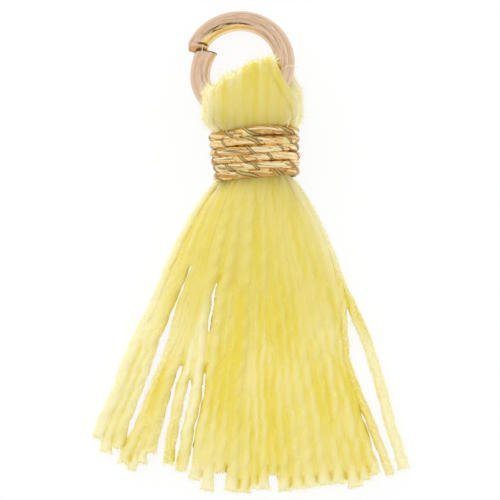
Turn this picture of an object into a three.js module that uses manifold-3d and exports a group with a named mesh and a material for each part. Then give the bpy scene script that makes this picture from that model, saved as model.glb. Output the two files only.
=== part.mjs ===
// A small jewelry tassel lying on its back: a hank of soft yarn folded over an open jump ring and bound
// at the neck with gold thread. Millimetres, +Z up. +Y points to the ring and the skirt spreads to -Y.
// Every piece is worked out about the middle of the neck; the last lines set the tassel on its origin.
import * as THREE from "three";
import { mergeVertices } from "three/addons/utils/BufferGeometryUtils.js";
import Module from "manifold-3d";

const wasm = await Module();
wasm.setup();

// ---- driving dimensions ----
const clearance = 0.3; // between the yarn, the ring and the binding

const ring = {
  outside: 5.0, // outer diameter
  wire: 0.88, // wire diameter
  middleX: -0.7, // ring centre from the middle of the neck
  middleY: 3.82,
  upperEnd: 155.5, // where the wire starts, in degrees round the ring
  lowerEnd: 165.7, // where it stops, a whole turn further on
  lowerEndRadius: 1.57, // the lower end is bent inwards, past the upper one
  bendFrom: 230, // where that bend begins, in degrees
  tilt: 17, // one side lies on the table and the other is lifted by the loop
  lowSide: 112, // the side that touches the table, in degrees
  bevel: 0.5, // length of the chisel shape that the cutters left at both ends
  sides: 12,
  steps: 56,
};

const binding = {
  turns: 6,
  thread: 0.41,
  halfWidth: 1.95,
  halfHeight: 1.7,
  footCut: 0.05, // how far the turns are pressed flat underneath
  slant: 3, // the turns climb to the right, in degrees
  segments: 36,
};

const skirt = {
  top: -1.5, // where the strands leave the binding
  hemHalf: 6.87, // half the width of the hem
  hemMiddle: -0.07,
  hemLow: -14.95, // the hem's lowest part
  leftLift: 1.6, // how much higher the hem ends on each side
  rightLift: 1.0,
  shoulder: 1.9, // half width just below the binding
  shoulderBy: 0.02, // share of the length in which the yarn swells to it
  strandsAcross: 28,
  ridge: 0.14, // how far a strand stands out of the surface
  tip: 0.3, // how far a strand's cut end stands out of the hem
};

const head = {
  bottom: 1.5, // where the loop enters the binding
  half: 2.1,
  middle: -0.08,
  swellBy: 0.14, // share of the loop's height in which it swells above the binding
  frontEdge: 0.62, // where the upper layer of the fold ends, as a share of the half width
  backEdge: 0.8, // where only the lower layer is left
  strandsAcross: 9, // the soft rolls that the strands form over the fold
  ridge: 0.1,
};

const neckHeight = binding.halfHeight - binding.footCut; // of the neck's middle above the table
const neckHalf = neckHeightAndWidth(binding.halfWidth);
const neckThick = neckHeightAndWidth(binding.halfHeight);

// Sections of the skirt down its length: share of the length, heights of its top, of its sides and of its
// underside, and how square its shoulders are (2 is an ellipse).
const skirtSections = [
  { along: 0.0, top: neckHeight + neckThick, side: neckHeight, under: neckHeight - neckThick, square: 2.0 },
  { along: 0.02, top: 2.9, side: 1.5, under: 0.3, square: 2.2 },
  { along: 0.1, top: 2.7, side: 1.0, under: 0.0, square: 2.3 },
  { along: 0.3, top: 2.15, side: 0.5, under: 0.0, square: 2.7 },
  { along: 0.5, top: 1.7, side: 0.3, under: 0.0, square: 3.2 },
  { along: 0.75, top: 1.3, side: 0.24, under: 0.0, square: 4.0 },
  { along: 1.0, top: 1.05, side: 0.24, under: 0.0, square: 5.0 },
];

// The fold's crown, from the left edge of the loop to the right: it follows the ring's arc upwards.
const crownLine = [
  { across: -1.0, y: 2.45 },
  { across: -0.95, y: 2.72 },
  { across: -0.8, y: 2.95 },
  { across: -0.5, y: 3.4 },
  { across: -0.2, y: 3.85 },
  { across: 0.1, y: 4.12 },
  { across: 0.4, y: 4.24 },
  { across: 0.65, y: 4.1 },
  { across: 0.85, y: 3.7 },
  { across: 0.95, y: 3.2 },
  { across: 1.0, y: 2.7 },
];

// Gaps between the locks: place at the hem, the shares of the length between which each is open, its
// greatest width, and whether it runs out of the hem.
const gaps = [
  { name: "long left slit", atHem: -5.45, from: 0.3, to: 0.97, width: 0.32, open: false },
  { name: "second left slit", atHem: -4.1, from: 0.6, to: 1.05, width: 0.26, open: true },
  { name: "third left slit", atHem: -3.45, from: 0.66, to: 1.05, width: 0.18, open: true },
  { name: "fourth left slit", atHem: -2.5, from: 0.66, to: 0.93, width: 0.24, open: false },
  { name: "wide right slit", atHem: 5.85, from: 0.42, to: 0.96, width: 0.6, open: false },
  { name: "inner right slit", atHem: 5.25, from: 0.74, to: 1.05, width: 0.16, open: true },
  { name: "left tip notch", atHem: -6.35, from: 0.94, to: 1.05, width: 0.3, open: true },
  { name: "tip notch left of centre", atHem: -1.35, from: 0.9, to: 1.05, width: 0.24, open: true },
  { name: "centre tip notch", atHem: 0.3, from: 0.95, to: 1.05, width: 0.2, open: true },
  { name: "tip notch right of centre", atHem: 0.85, from: 0.94, to: 1.05, width: 0.3, open: true },
  { name: "deep tip notch", atHem: 1.75, from: 0.89, to: 1.05, width: 0.3, open: true },
  { name: "right tip notch", atHem: 2.85, from: 0.92, to: 1.05, width: 0.24, open: true },
];

/** Half size of the yarn inside the binding, from the binding's own half size. */
function neckHeightAndWidth(outer) {
  return outer - binding.thread - clearance;
}

/** Smooth step from 0 at low to 1 at high. */
function ease(value, low, high) {
  return THREE.MathUtils.smoothstep(value, low, high);
}

/** Value of a column of a table at a place, in straight lines between its rows. */
function lookUp(table, key, column, place) {
  const next = Math.max(1, table.findIndex((row) => row[key] >= place - 1e-9));
  const [a, b] = [table[next - 1], table[next]];
  const share = THREE.MathUtils.clamp((place - a[key]) / (b[key] - a[key]), 0, 1);
  return THREE.MathUtils.lerp(a[column], b[column], share);
}

/** How much of its full thickness a section keeps at a share of its half width: 1 inside, 0 at the edge. */
function roundedOff(across, square) {
  return Math.pow(Math.max(0, 1 - Math.pow(Math.abs(across), square)), 1 / square);
}

/** Ridge that one of the strands raises on the surface: 1 along its back and 0 in the furrows beside it. */
function strandRidge(across, strands) {
  const place = ((across + 1) / 2) * strands;
  return 1 - Math.abs(2 * (place - Math.floor(place)) - 1);
}

/** Where the hem ends, with the uneven lengths to which the strands were cut. */
function hemY(across) {
  const leftSide = skirt.leftLift * Math.pow(Math.max(0, -across), 2.2);
  const rightSide = skirt.rightLift * Math.pow(Math.max(0, across), 3);
  const uneven = 0.12 * Math.sin(23 * across + 0.6) + 0.1 * Math.sin(41 * across);
  const tip = skirt.tip * (1 - strandRidge(across, skirt.strandsAcross));
  return skirt.hemLow + leftSide + rightSide + uneven + tip;
}

/** Point of the skirt in plan: across from -1 to 1, along from 0 at the binding to 1 at the hem. */
function skirtPlan(across, along) {
  const half = THREE.MathUtils.lerp(neckHalf, skirt.shoulder, ease(along, 0, skirt.shoulderBy));
  const hemX = skirt.hemMiddle + skirt.hemHalf * across;
  const fanned = Math.pow(along, 1 - 0.22 * Math.abs(across));
  return {
    x: THREE.MathUtils.lerp(half * across, hemX, fanned),
    y: THREE.MathUtils.lerp(skirt.top, hemY(across), along),
  };
}

/** Upper and lower point of the skirt at a place. */
function skirtPoints(across, along) {
  const { x, y } = skirtPlan(across, along);
  const top = lookUp(skirtSections, "along", "top", along);
  const under = lookUp(skirtSections, "along", "under", along);
  const edge = lookUp(skirtSections, "along", "side", along);
  const flat = 0.85 * ease(along, 0, 0.15);
  const tucked = Math.max(0, Math.abs(across) - flat) / (1 - flat);
  const full = roundedOff(across, lookUp(skirtSections, "along", "square", along));
  const ridge = skirt.ridge * Math.min(1, 0.4 + along) * strandRidge(across, skirt.strandsAcross) * full;
  return [
    new THREE.Vector3(x, y, edge + (top - edge - skirt.ridge) * full + ridge),
    new THREE.Vector3(x, y, edge + (under - edge) * roundedOff(tucked, 2)),
  ];
}

/** Upper and lower point of the loop: up from 0 in the binding to 1 on the crown of the fold. */
function headPoints(across, up) {
  const half = THREE.MathUtils.lerp(neckHalf, head.half, ease(up, 0, head.swellBy));
  const x = half * across + head.middle * ease(up, 0, head.swellBy);
  const y = THREE.MathUtils.lerp(head.bottom, lookUp(crownLine, "across", "y", across), up);
  const swell = ease(up, 0, head.swellBy);
  const backOnly = ease(across, head.frontEdge, head.backEdge) * swell;
  const frontOnly = ease(-across, head.backEdge, 1) * swell;
  const edge = neckHeight + 0.55 * frontOnly - 0.85 * backOnly;
  const top = THREE.MathUtils.lerp(neckHeight + neckThick, 3.25, swell) - 1.9 * backOnly;
  const under = THREE.MathUtils.lerp(neckHeight - neckThick, 0.08, swell);
  const full = roundedOff(across, 2 + 1.4 * swell) * roundedOff(up, 2.8);
  const ridge = head.ridge * swell * strandRidge(across, head.strandsAcross) * full;
  return [
    new THREE.Vector3(x, y, edge + (top - edge - head.ridge) * full + ridge),
    new THREE.Vector3(x, y, edge + (under - edge) * full),
  ];
}

/** Solid of a closed geometry, joined by position alone. */
function solidOf(geometry) {
  const bare = geometry.clone();
  bare.deleteAttribute("normal");
  bare.deleteAttribute("uv");
  const merged = mergeVertices(bare, 1e-4);
  const corners = Array.from(merged.index.array);
  const kept = [];
  for (let i = 0; i < corners.length; i += 3) {
    const face = corners.slice(i, i + 3);
    if (new Set(face).size === 3) kept.push(...face);
  }
  return new wasm.Manifold(
    new wasm.Mesh({
      numProp: 3,
      vertProperties: merged.attributes.position.array,
      triVerts: new Uint32Array(kept),
    }),
  );
}

/** Geometry of a solid, with the flat faces that it has. */
function geometryOf(solid) {
  const { vertProperties, triVerts } = solid.getMesh();
  const geometry = new THREE.BufferGeometry();
  geometry.setAttribute("position", new THREE.BufferAttribute(vertProperties, 3));
  geometry.setIndex(new THREE.BufferAttribute(triVerts, 1));
  return geometry.toNonIndexed();
}

/** The yarn before it is cut: an upper and a lower sheet that meet along the sides and on the crown. */
function hankBlank() {
  const skirtRows = [1, 0.87, 0.74, 0.6, 0.46, 0.33, 0.21, 0.12, 0.06, 0.02, 0];
  const headRows = [0, 0.07, 0.14, 0.34, 0.54, 0.72, 0.86, 0.95, 1];
  const rows = [
    ...skirtRows.map((along) => (across) => skirtPoints(across, along)),
    ...headRows.map((up) => (across) => headPoints(across, up)),
  ];
  const columns = 2 * skirt.strandsAcross;
  const grid = rows.map((row) =>
    Array.from({ length: columns + 1 }, (_, i) => row((2 * i) / columns - 1)),
  );
  const corners = [];
  const quad = (a, b, c, d) => corners.push(a, b, c, a, c, d);
  for (let i = 0; i < columns; i++) {
    const [left, right] = [grid[0][i], grid[0][i + 1]];
    quad(left[1], right[1], right[0], left[0]);
    for (let j = 0; j + 1 < rows.length; j++) {
      const [a, b, c, d] = [grid[j][i], grid[j][i + 1], grid[j + 1][i + 1], grid[j + 1][i]];
      quad(a[0], b[0], c[0], d[0]);
      quad(d[1], c[1], b[1], a[1]);
    }
  }
  return new THREE.BufferGeometry().setFromPoints(corners);
}

/** Upright cutter for one gap: it runs along the strands, narrow at its head and open or closed below. */
function gapCutter(gap) {
  const across = (gap.atHem - skirt.hemMiddle) / skirt.hemHalf;
  const steps = 8;
  const [left, right] = [[], []];
  for (let i = 0; i <= steps; i++) {
    const share = i / steps;
    const { x, y } = skirtPlan(across, THREE.MathUtils.lerp(gap.from, gap.to, share));
    const wide = gap.open ? Math.sqrt(share) : Math.sin(Math.PI * share);
    const half = Math.max(0.02, wide) * (gap.width / 2);
    left.push(new THREE.Vector2(x - half, y));
    right.unshift(new THREE.Vector2(x + half, y));
  }
  const cutter = new THREE.ExtrudeGeometry(new THREE.Shape([...left, ...right]), {
    depth: 5,
    bevelEnabled: false,
  });
  return solidOf(cutter.translate(0, 0, -1));
}

/** Centre line of the ring's wire in its own plane, from the upper end round to the lower end. */
class WireLine extends THREE.Curve {
  getPoint(share, target = new THREE.Vector3()) {
    const turn = THREE.MathUtils.lerp(ring.upperEnd, ring.lowerEnd - 360, share);
    const radius = (ring.outside - ring.wire) / 2;
    const bent = ease(-turn, 360 - ring.bendFrom, 360 - ring.lowerEnd);
    const reach = THREE.MathUtils.lerp(radius, ring.lowerEndRadius, bent);
    const angle = THREE.MathUtils.degToRad(turn);
    return target.set(reach * Math.cos(angle), reach * Math.sin(angle), 0);
  }
}

/** Wire of a given thickness along the ring's line. */
function wireGeometry(thickness) {
  const section = new THREE.Shape(
    Array.from({ length: ring.sides }, (_, i) => {
      const angle = (2 * Math.PI * (i + 0.5)) / ring.sides;
      return new THREE.Vector2(Math.cos(angle), Math.sin(angle)).multiplyScalar(thickness / 2);
    }),
  );
  return new THREE.ExtrudeGeometry(section, { steps: ring.steps, extrudePath: new WireLine() });
}

/** The two slopes of one chisel-cut end of the wire, as cutters above and below its edge. */
function endBevels(share, outwards) {
  const line = new WireLine();
  const along = line.getTangent(share).multiplyScalar(outwards);
  const upright = new THREE.Vector3(0, 0, 1);
  const turned = new THREE.Matrix4().makeBasis(along, upright, along.clone().cross(upright));
  turned.setPosition(line.getPoint(share));
  return [1, -1].map((side) => {
    const slope = new THREE.Shape([
      new THREE.Vector2(0.05, 0),
      new THREE.Vector2(0.05, side * ring.wire),
      new THREE.Vector2(-2 * ring.bevel, side * ring.wire),
    ]);
    const cutter = new THREE.ExtrudeGeometry(slope, { depth: 2 * ring.wire, bevelEnabled: false });
    return solidOf(cutter.translate(0, 0, -ring.wire).applyMatrix4(turned));
  });
}

/** The jump ring, tilted so that its low side lies on the table. */
function jumpRing() {
  const metal = new THREE.MeshStandardMaterial({ color: 0xd9ab7c, roughness: 0.25, metalness: 1 });
  let wire = solidOf(wireGeometry(ring.wire));
  for (const bevel of [...endBevels(0, -1), ...endBevels(1, 1)]) wire = wire.subtract(bevel);
  const mesh = new THREE.Mesh(geometryOf(wire), metal);
  mesh.name = "jump_ring";
  const low = THREE.MathUtils.degToRad(ring.lowSide);
  const hinge = new THREE.Vector3(-Math.sin(low), Math.cos(low), 0);
  mesh.quaternion.setFromAxisAngle(hinge, THREE.MathUtils.degToRad(ring.tilt));
  mesh.position.set(ring.middleX, ring.middleY, 0);
  mesh.position.z = -new THREE.Box3().setFromObject(mesh, true).min.z;
  return mesh;
}

/** The hank of yarn: loop, neck and skirt in one, with the ring's way through the fold and the gaps. */
function yarnHank(ringMesh) {
  ringMesh.updateMatrix();
  const way = wireGeometry(ring.wire + 2 * clearance).applyMatrix4(ringMesh.matrix);
  let solid = solidOf(hankBlank()).subtract(solidOf(way));
  for (const gap of gaps) solid = solid.subtract(gapCutter(gap));
  const yarn = new THREE.MeshStandardMaterial({ color: 0xf0dc7d, roughness: 0.95, metalness: 0 });
  const mesh = new THREE.Mesh(geometryOf(solid), yarn);
  mesh.name = "yarn_hank";
  return mesh;
}

/** The binding: gold thread wound round the neck, as one sleeve with a ridge for each turn. */
function bindingSleeve() {
  const { turns, thread, halfWidth, halfHeight, footCut, slant } = binding;
  const bumps = 4; // segments round the outside of a turn
  const outline = [new THREE.Vector2(halfHeight - thread, (-turns * thread) / 2)];
  for (let turn = 0; turn < turns; turn++) {
    for (let i = 0; i <= bumps; i++) {
      const angle = Math.PI * (0.12 + (0.76 * i) / bumps);
      outline.push(
        new THREE.Vector2(
          halfHeight - thread / 2 + (thread / 2) * Math.sin(angle),
          (turn - turns / 2 + 0.5) * thread - (thread / 2) * Math.cos(angle),
        ),
      );
    }
  }
  outline.push(new THREE.Vector2(halfHeight - thread, (turns * thread) / 2), outline[0].clone());
  const sleeve = new THREE.LatheGeometry(outline, binding.segments);
  sleeve.scale(halfWidth / halfHeight, 1, 1).rotateZ(THREE.MathUtils.degToRad(slant));
  sleeve.translate(0, 0, halfHeight - footCut);
  const table = new THREE.BoxGeometry(12, 12, 4).translate(0, 0, -2);
  const gold = new THREE.MeshStandardMaterial({ color: 0xd8a850, roughness: 0.3, metalness: 1 });
  const mesh = new THREE.Mesh(geometryOf(solidOf(sleeve).subtract(solidOf(table))), gold);
  mesh.name = "binding_thread";
  return mesh;
}

// ---- assembly: the middle of the footprint, on the table, becomes the origin ----
const tassel = new THREE.Group();
const ringMesh = jumpRing();
tassel.add(yarnHank(ringMesh), bindingSleeve(), ringMesh);
const footprint = new THREE.Box3().setFromObject(tassel, true);
const middle = footprint.getCenter(new THREE.Vector3());
tassel.position.set(-middle.x, -middle.y, -footprint.min.z);

const part = new THREE.Group();
part.add(tassel);

export default part;
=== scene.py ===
"""A mini tassel of soft two-ply yarn on an open jump ring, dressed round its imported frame.

+Y runs from the hem to the ring and +Z up from the surface that the tassel lies on. Sizes are written
in millimetres from the middle of the neck and its height, and become metres when a mesh is made.
"""

import logging
import math
from dataclasses import dataclass, field, replace
from enum import Enum

import bpy
import numpy as np
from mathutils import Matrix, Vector

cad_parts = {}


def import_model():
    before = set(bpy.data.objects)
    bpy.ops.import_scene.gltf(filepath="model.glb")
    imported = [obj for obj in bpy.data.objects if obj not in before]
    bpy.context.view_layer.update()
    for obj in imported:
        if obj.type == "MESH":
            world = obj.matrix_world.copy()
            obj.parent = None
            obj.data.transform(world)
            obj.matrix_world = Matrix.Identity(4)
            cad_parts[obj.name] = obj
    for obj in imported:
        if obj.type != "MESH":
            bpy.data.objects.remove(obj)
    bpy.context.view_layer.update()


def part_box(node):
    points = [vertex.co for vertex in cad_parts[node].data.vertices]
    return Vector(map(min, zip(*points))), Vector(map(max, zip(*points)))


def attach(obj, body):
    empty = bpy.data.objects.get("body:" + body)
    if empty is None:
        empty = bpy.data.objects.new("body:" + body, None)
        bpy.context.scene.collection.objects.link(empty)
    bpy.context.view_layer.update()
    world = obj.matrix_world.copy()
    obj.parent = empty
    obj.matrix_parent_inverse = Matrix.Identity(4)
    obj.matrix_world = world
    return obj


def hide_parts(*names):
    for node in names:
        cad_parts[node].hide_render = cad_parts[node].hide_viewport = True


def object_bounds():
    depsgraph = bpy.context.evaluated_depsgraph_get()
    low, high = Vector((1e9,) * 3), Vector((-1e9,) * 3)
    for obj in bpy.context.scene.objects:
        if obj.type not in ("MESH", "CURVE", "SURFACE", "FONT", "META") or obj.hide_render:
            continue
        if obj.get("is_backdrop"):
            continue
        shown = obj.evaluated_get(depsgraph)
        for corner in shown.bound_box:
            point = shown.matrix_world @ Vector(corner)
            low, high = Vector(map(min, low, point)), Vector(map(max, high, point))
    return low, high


LOG = logging.getLogger("tassel")
MM = 0.001
TURN = 2 * math.pi
# A strand's middle stays this many radii over the table.
ON_TABLE = 1.02
MAP = "along_and_round"
THREAD_GROUP = "round_the_thread"

Colour = tuple[float, float, float, float]
Spot = tuple[float, float, float]
Array = np.ndarray
Chance = np.random.Generator
Socket = bpy.types.NodeSocket
Term = float | Socket


# ---------------------------------------------------------------- surfaces


@dataclass
class Surface:
    """Vertices in millimetres, faces as rows of corners, and values that shaders read.

    Args:
        points: positions, three numbers each.
        quads, triangles: corners, four and three to a face.
        uv: per corner of quads then triangles, two numbers each; None leaves the mesh without a map.
        values: name to one number per vertex.
    """

    points: Array
    quads: Array
    triangles: Array = field(default_factory=lambda: np.zeros((0, 3), int))
    uv: Array | None = None
    values: dict[str, Array] = field(default_factory=dict)

    def __post_init__(self) -> None:
        """Lays points and faces out in rows."""
        self.points = self.points.reshape(-1, 3)
        self.quads, self.triangles = self.quads.reshape(-1, 4), self.triangles.reshape(-1, 3)

    def valued(self, **numbers: float) -> "Surface":
        """This surface, with the same numbers at every vertex."""
        self.values |= {key: np.full(len(self.points), number) for key, number in numbers.items()}
        return self

    def build(self, name: str, material: bpy.types.Material) -> bpy.types.Object:
        """Makes the smooth-shaded object of this surface.

        Args:
            name: the piece's name.
            material: its finish.

        Returns:
            The linked object, at the origin.
        """
        mesh = bpy.data.meshes.new(name)
        faces = self.quads.tolist() + self.triangles.tolist()
        mesh.from_pydata((self.points * MM).tolist(), [], faces)
        if self.uv is not None:
            layer = mesh.uv_layers.new(name=MAP)
            layer.data.foreach_set("uv", self.uv.astype(np.float32).ravel())
        for key, numbers in self.values.items():
            attribute = mesh.attributes.new(key, "FLOAT", "POINT")
            attribute.data.foreach_set("value", numbers.astype(np.float32).ravel())
        mesh.polygons.foreach_set("use_smooth", np.ones(len(faces), bool))
        mesh.materials.append(material)
        mesh.update()
        obj = bpy.data.objects.new(name, mesh)
        bpy.context.scene.collection.objects.link(obj)
        return obj


def ease(value: Array, low: float, high: float) -> Array:
    """Rises smoothly from 0 at low to 1 at high, as 3t^2 - 2t^3."""
    t = np.clip((np.asarray(value, float) - low) / (high - low), 0.0, 1.0)
    return t * t * (3 - 2 * t)


def unit(vectors: Array) -> Array:
    """Scales the last axis to length 1."""
    return vectors / np.maximum(np.linalg.norm(vectors, axis=-1, keepdims=True), 1e-12)


def round_the(sides: int) -> Array:
    """Angles of the corners of an outline, from 0 up."""
    return TURN * np.arange(sides) / sides


def lengths(lines: Array) -> Array:
    """Length along each of (n, m, 3) lines up to each of its points, (n, m)."""
    step = np.linalg.norm(np.diff(lines, axis=1), axis=2)
    return np.concatenate([np.zeros((len(lines), 1)), np.cumsum(step, axis=1)], axis=1)


def cubic(t: Array, ends: tuple, slopes: tuple) -> Array:
    """The cubic that has the ends' values and slopes, at shares t of the way from one to the other."""
    line = (2 * t**3 - 3 * t**2 + 1) * ends[0] + (t**3 - 2 * t**2 + t) * slopes[0]
    return line + (-2 * t**3 + 3 * t**2) * ends[1] + (t**3 - t**2) * slopes[1]


def spline(knots: Array, steps: int) -> Array:
    """Smooth curves through knots, with points at equal distances along each.

    Between two knots it is the cubic that has the slopes (next - previous) / 2 at its ends.

    Args:
        knots: (n, k, 3) knots of n curves.
        steps: points along each curve.

    Returns:
        (n, steps, 3) points.
    """
    slope = np.gradient(knots, axis=1)
    fine = 12
    t = (np.arange(fine) / fine)[None, None, :, None]
    ends, slopes = ((line[:, :-1, None], line[:, 1:, None]) for line in (knots, slope))
    run = cubic(t, ends, slopes).reshape(len(knots), -1, 3)
    return even_steps(np.concatenate([run, knots[:, -1:]], axis=1), steps)


def even_steps(run: Array, steps: int) -> Array:
    """Reads polylines again at equal shares of their own length.

    Args:
        run: (n, m, 3) points.
        steps: points wanted along each.

    Returns:
        (n, steps, 3) points.
    """
    length = lengths(run)
    wanted = np.linspace(0, 1, steps)[None] * length[:, -1:]
    after = (length[:, None, :] < wanted[:, :, None]).sum(2).clip(1, run.shape[1] - 1)
    rows = np.arange(len(run))[:, None]
    low, high = length[rows, after - 1], length[rows, after]
    share = ((wanted - low) / np.maximum(high - low, 1e-9))[..., None]
    return run[rows, after - 1] * (1 - share) + run[rows, after] * share


@dataclass
class Carried:
    """Tubes: one closed profile carried along each of n paths.

    The profile stands square to the path. Its first direction is the part of the reference that is
    square to the path, and its second is the path's direction crossed with the first.

    Args:
        path: (n, m, 3) centre lines.
        reach: (n, m, sides) distance of the skin from them.
        reference: a direction that no path runs along, or one for each point.
        flatten: (n, m) share of the second direction that is kept.
    """

    path: Array
    reach: Array
    reference: Spot | Array
    flatten: Array | None = None

    def __post_init__(self) -> None:
        """Works out the skin, its outward directions and the length along it."""
        self.along = unit(np.gradient(self.path, axis=1))
        reference = np.broadcast_to(np.asarray(self.reference, float), self.path.shape)
        inward = (reference * self.along).sum(-1, keepdims=True) * self.along
        first = unit(reference - inward)
        second = np.cross(self.along, first)
        angle = round_the(self.reach.shape[-1])
        keep = np.ones(self.path.shape[:2]) if self.flatten is None else self.flatten
        outwards = np.cos(angle)[:, None] * first[:, :, None]
        outwards = outwards + (np.sin(angle) * keep[..., None])[..., None] * second[:, :, None]
        self.outwards = unit(outwards)
        self.skin = self.path[:, :, None] + self.reach[..., None] * outwards
        self.length = lengths(self.path)

    def surface(self) -> Surface:
        """Closes the tubes with a fan at each end.

        Returns:
            The surface. Its map has the length in millimetres as u and the share of a turn as v.
        """
        n, m, sides = self.reach.shape
        corner = np.arange(n * m * sides).reshape(n, m, sides)
        tips = n * m * sides + np.arange(2 * n).reshape(2, n, 1)
        u = np.broadcast_to(self.length[:, :, None], corner.shape)
        v = np.broadcast_to(np.arange(sides) / sides, corner.shape)
        quads, first, last = self._faces(corner, np.roll(corner, -1, axis=2), tips)
        here, ahead = np.stack([u, v], -1), np.stack([u, v + 1 / sides], -1)
        uv = self._faces(here, ahead, (here[:, 0], here[:, -1]))
        points = np.concatenate([self.skin.reshape(-1, 3), self.path[:, 0], self.path[:, -1]])
        uv = np.concatenate([part.ravel() for part in uv])
        return Surface(points, quads, np.concatenate([first, last]), uv)

    @staticmethod
    def _faces(here: Array, ahead: Array, tips: tuple) -> tuple[Array, ...]:
        """Corners, or what is known at them, of the walls and of the first and last fans.

        Args:
            here, ahead: what is known at each corner, (n, m, sides, ...), and at the next one round.
            tips: the same at the first ends and at the last.

        Returns:
            The walls and both fans, with the corners of a face along one new axis.
        """
        wide = here[:, 0].shape
        tips = [np.broadcast_to(tip, wide) for tip in tips]
        return (
            np.stack([here[:, :-1], ahead[:, :-1], ahead[:, 1:], here[:, 1:]], 3),
            np.stack([tips[0], ahead[:, 0], here[:, 0]], 2),
            np.stack([tips[1], here[:, -1], ahead[:, -1]], 2),
        )

    def spread(self, numbers: Array) -> Array:
        """One number per vertex of the surface from one for each tube, (n, 1)."""
        sides = np.broadcast_to(numbers[..., None], self.reach.shape)
        return np.concatenate([sides.reshape(-1), numbers[:, 0], numbers[:, 0]])


def two_ply(angle: Array, offset: float) -> Array:
    """Outline of two round plies side by side.

    Each is a circle of radius 1 whose middle lies offset from the strand's, so the outline is
    offset * |cos a| + sqrt(1 - offset^2 sin^2 a), divided by about its mean.

    Args:
        angle: a, the direction off the line through both plies.
        offset: distance of a ply's middle from the strand's.

    Returns:
        Relative reach in each direction.
    """
    reach = offset * np.abs(np.cos(angle)) + np.sqrt(1 - (offset * np.sin(angle)) ** 2)
    return reach / (1 + offset * 2 / np.pi)


# ---------------------------------------------------------------- node trees


class Graph:
    """Shorthand for wiring one node tree."""

    def __init__(self, tree: bpy.types.NodeTree) -> None:
        """Starts on a tree, which keeps the nodes it has."""
        self.tree = tree

    def fill(self, node: bpy.types.Node, inputs: dict) -> bpy.types.Node:
        """Sets inputs of a node.

        Args:
            node: which one.
            inputs: socket name or index to a value, or to the socket that feeds it.

        Returns:
            The node.
        """
        for key, value in inputs.items():
            if isinstance(value, Socket):
                self.tree.links.new(value, node.inputs[key])
            else:
                node.inputs[key].default_value = value
        return node

    def node(self, kind: str, inputs: dict | None = None, **settings: object) -> bpy.types.Node:
        """Adds a node.

        Args:
            kind: its Blender type.
            inputs: as for fill.
            settings: the node's own properties.

        Returns:
            The node.
        """
        made = self.tree.nodes.new(kind)
        for key, value in settings.items():
            setattr(made, key, value)
        return self.fill(made, inputs or {})

    def math(self, operation: str, *terms: Term) -> Socket:
        """Result of a Math node on the terms."""
        return self.node("ShaderNodeMath", dict(enumerate(terms)), operation=operation).outputs[0]

    def plus(self, a: Term, b: Term) -> Socket:
        """Sum of two terms."""
        return self.math("ADD", a, b)

    def times(self, a: Term, b: Term) -> Socket:
        """Product of two terms."""
        return self.math("MULTIPLY", a, b)

    def greater(self, a: Term, b: Term) -> Socket:
        """The greater of two terms."""
        return self.math("MAXIMUM", a, b)

    def rest(self, share: Term) -> Socket:
        """What a share leaves of 1."""
        return self.math("SUBTRACT", 1.0, share)

    def sway(self, value: Term, strength: float) -> Socket:
        """A value from 0 to 1 made to swing about 0, times a strength."""
        return self.times(self.math("SUBTRACT", value, 0.5), strength)

    def off(self, value: Term, middle: Term) -> Socket:
        """Distance of a value from a middle."""
        return self.math("ABSOLUTE", self.math("SUBTRACT", value, middle))

    def between(self, low: float, high: float, share: Term) -> Socket:
        """Value that goes from low to high with a share."""
        return self.plus(low, self.times(share, high - low))

    def steps(self, value: Term, low: float, high: float) -> Socket:
        """Smooth step of a value from 0 at low to 1 at high."""
        inputs = {"Value": value, "From Min": low, "From Max": high}
        return self.node("ShaderNodeMapRange", inputs, interpolation_type="SMOOTHSTEP").outputs[0]

    def blend(self, share: Term, a: Colour | Socket, b: Colour | Socket, how: str = "MIX") -> Socket:
        """Mix of two colours."""
        made = self.node("ShaderNodeMix", {0: share, 6: a, 7: b}, data_type="RGBA", blend_type=how)
        return made.outputs[2]

    def filtered(self, base: Colour | Socket, red: Term, green: Term, blue: Term) -> Socket:
        """A colour of which each part is multiplied by its own number."""
        tint = self.node("ShaderNodeCombineColor", {0: red, 1: green, 2: blue}).outputs[0]
        return self.blend(1.0, base, tint, "MULTIPLY")

    def noise(self, where: Socket, scale: float, detail: float = 2.0, rough: float = 0.5) -> Socket:
        """Noise value at a place."""
        inputs = {"Vector": where, "Scale": scale, "Detail": detail, "Roughness": rough}
        return self.node("ShaderNodeTexNoise", inputs).outputs[0]

    def bump(self, height: Socket, strength: float, depth: float) -> Socket:
        """Normal of a fine relief, with its depth in millimetres."""
        inputs = {"Strength": strength, "Distance": depth * MM, "Height": height}
        return self.node("ShaderNodeBump", inputs).outputs[0]

    def map(self) -> Socket:
        """The piece's own map."""
        return self.node("ShaderNodeUVMap", uv_map=MAP).outputs[0]

    def value(self, name: str) -> Socket:
        """One of the numbers that the surface's vertices carry."""
        return self.node("ShaderNodeAttribute", attribute_name=name).outputs["Fac"]

    def parts(self, vector: Socket) -> list[Socket]:
        """The three numbers of a vector or colour."""
        return list(self.node("ShaderNodeSeparateXYZ", {0: vector}).outputs)


def colour(red: float, green: float, blue: float) -> Colour:
    """Turns a screen's colour into a linear one, by the screen's own curve.

    Args:
        red, green, blue: its shares, 0 to 255.

    Returns:
        Linear colour with an alpha of 1.
    """
    share = np.array([red, green, blue]) / 255
    linear = np.where(share <= 0.04045, share / 12.92, ((share + 0.055) / 1.055) ** 2.4)
    return (*map(float, linear), 1.0)


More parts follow.
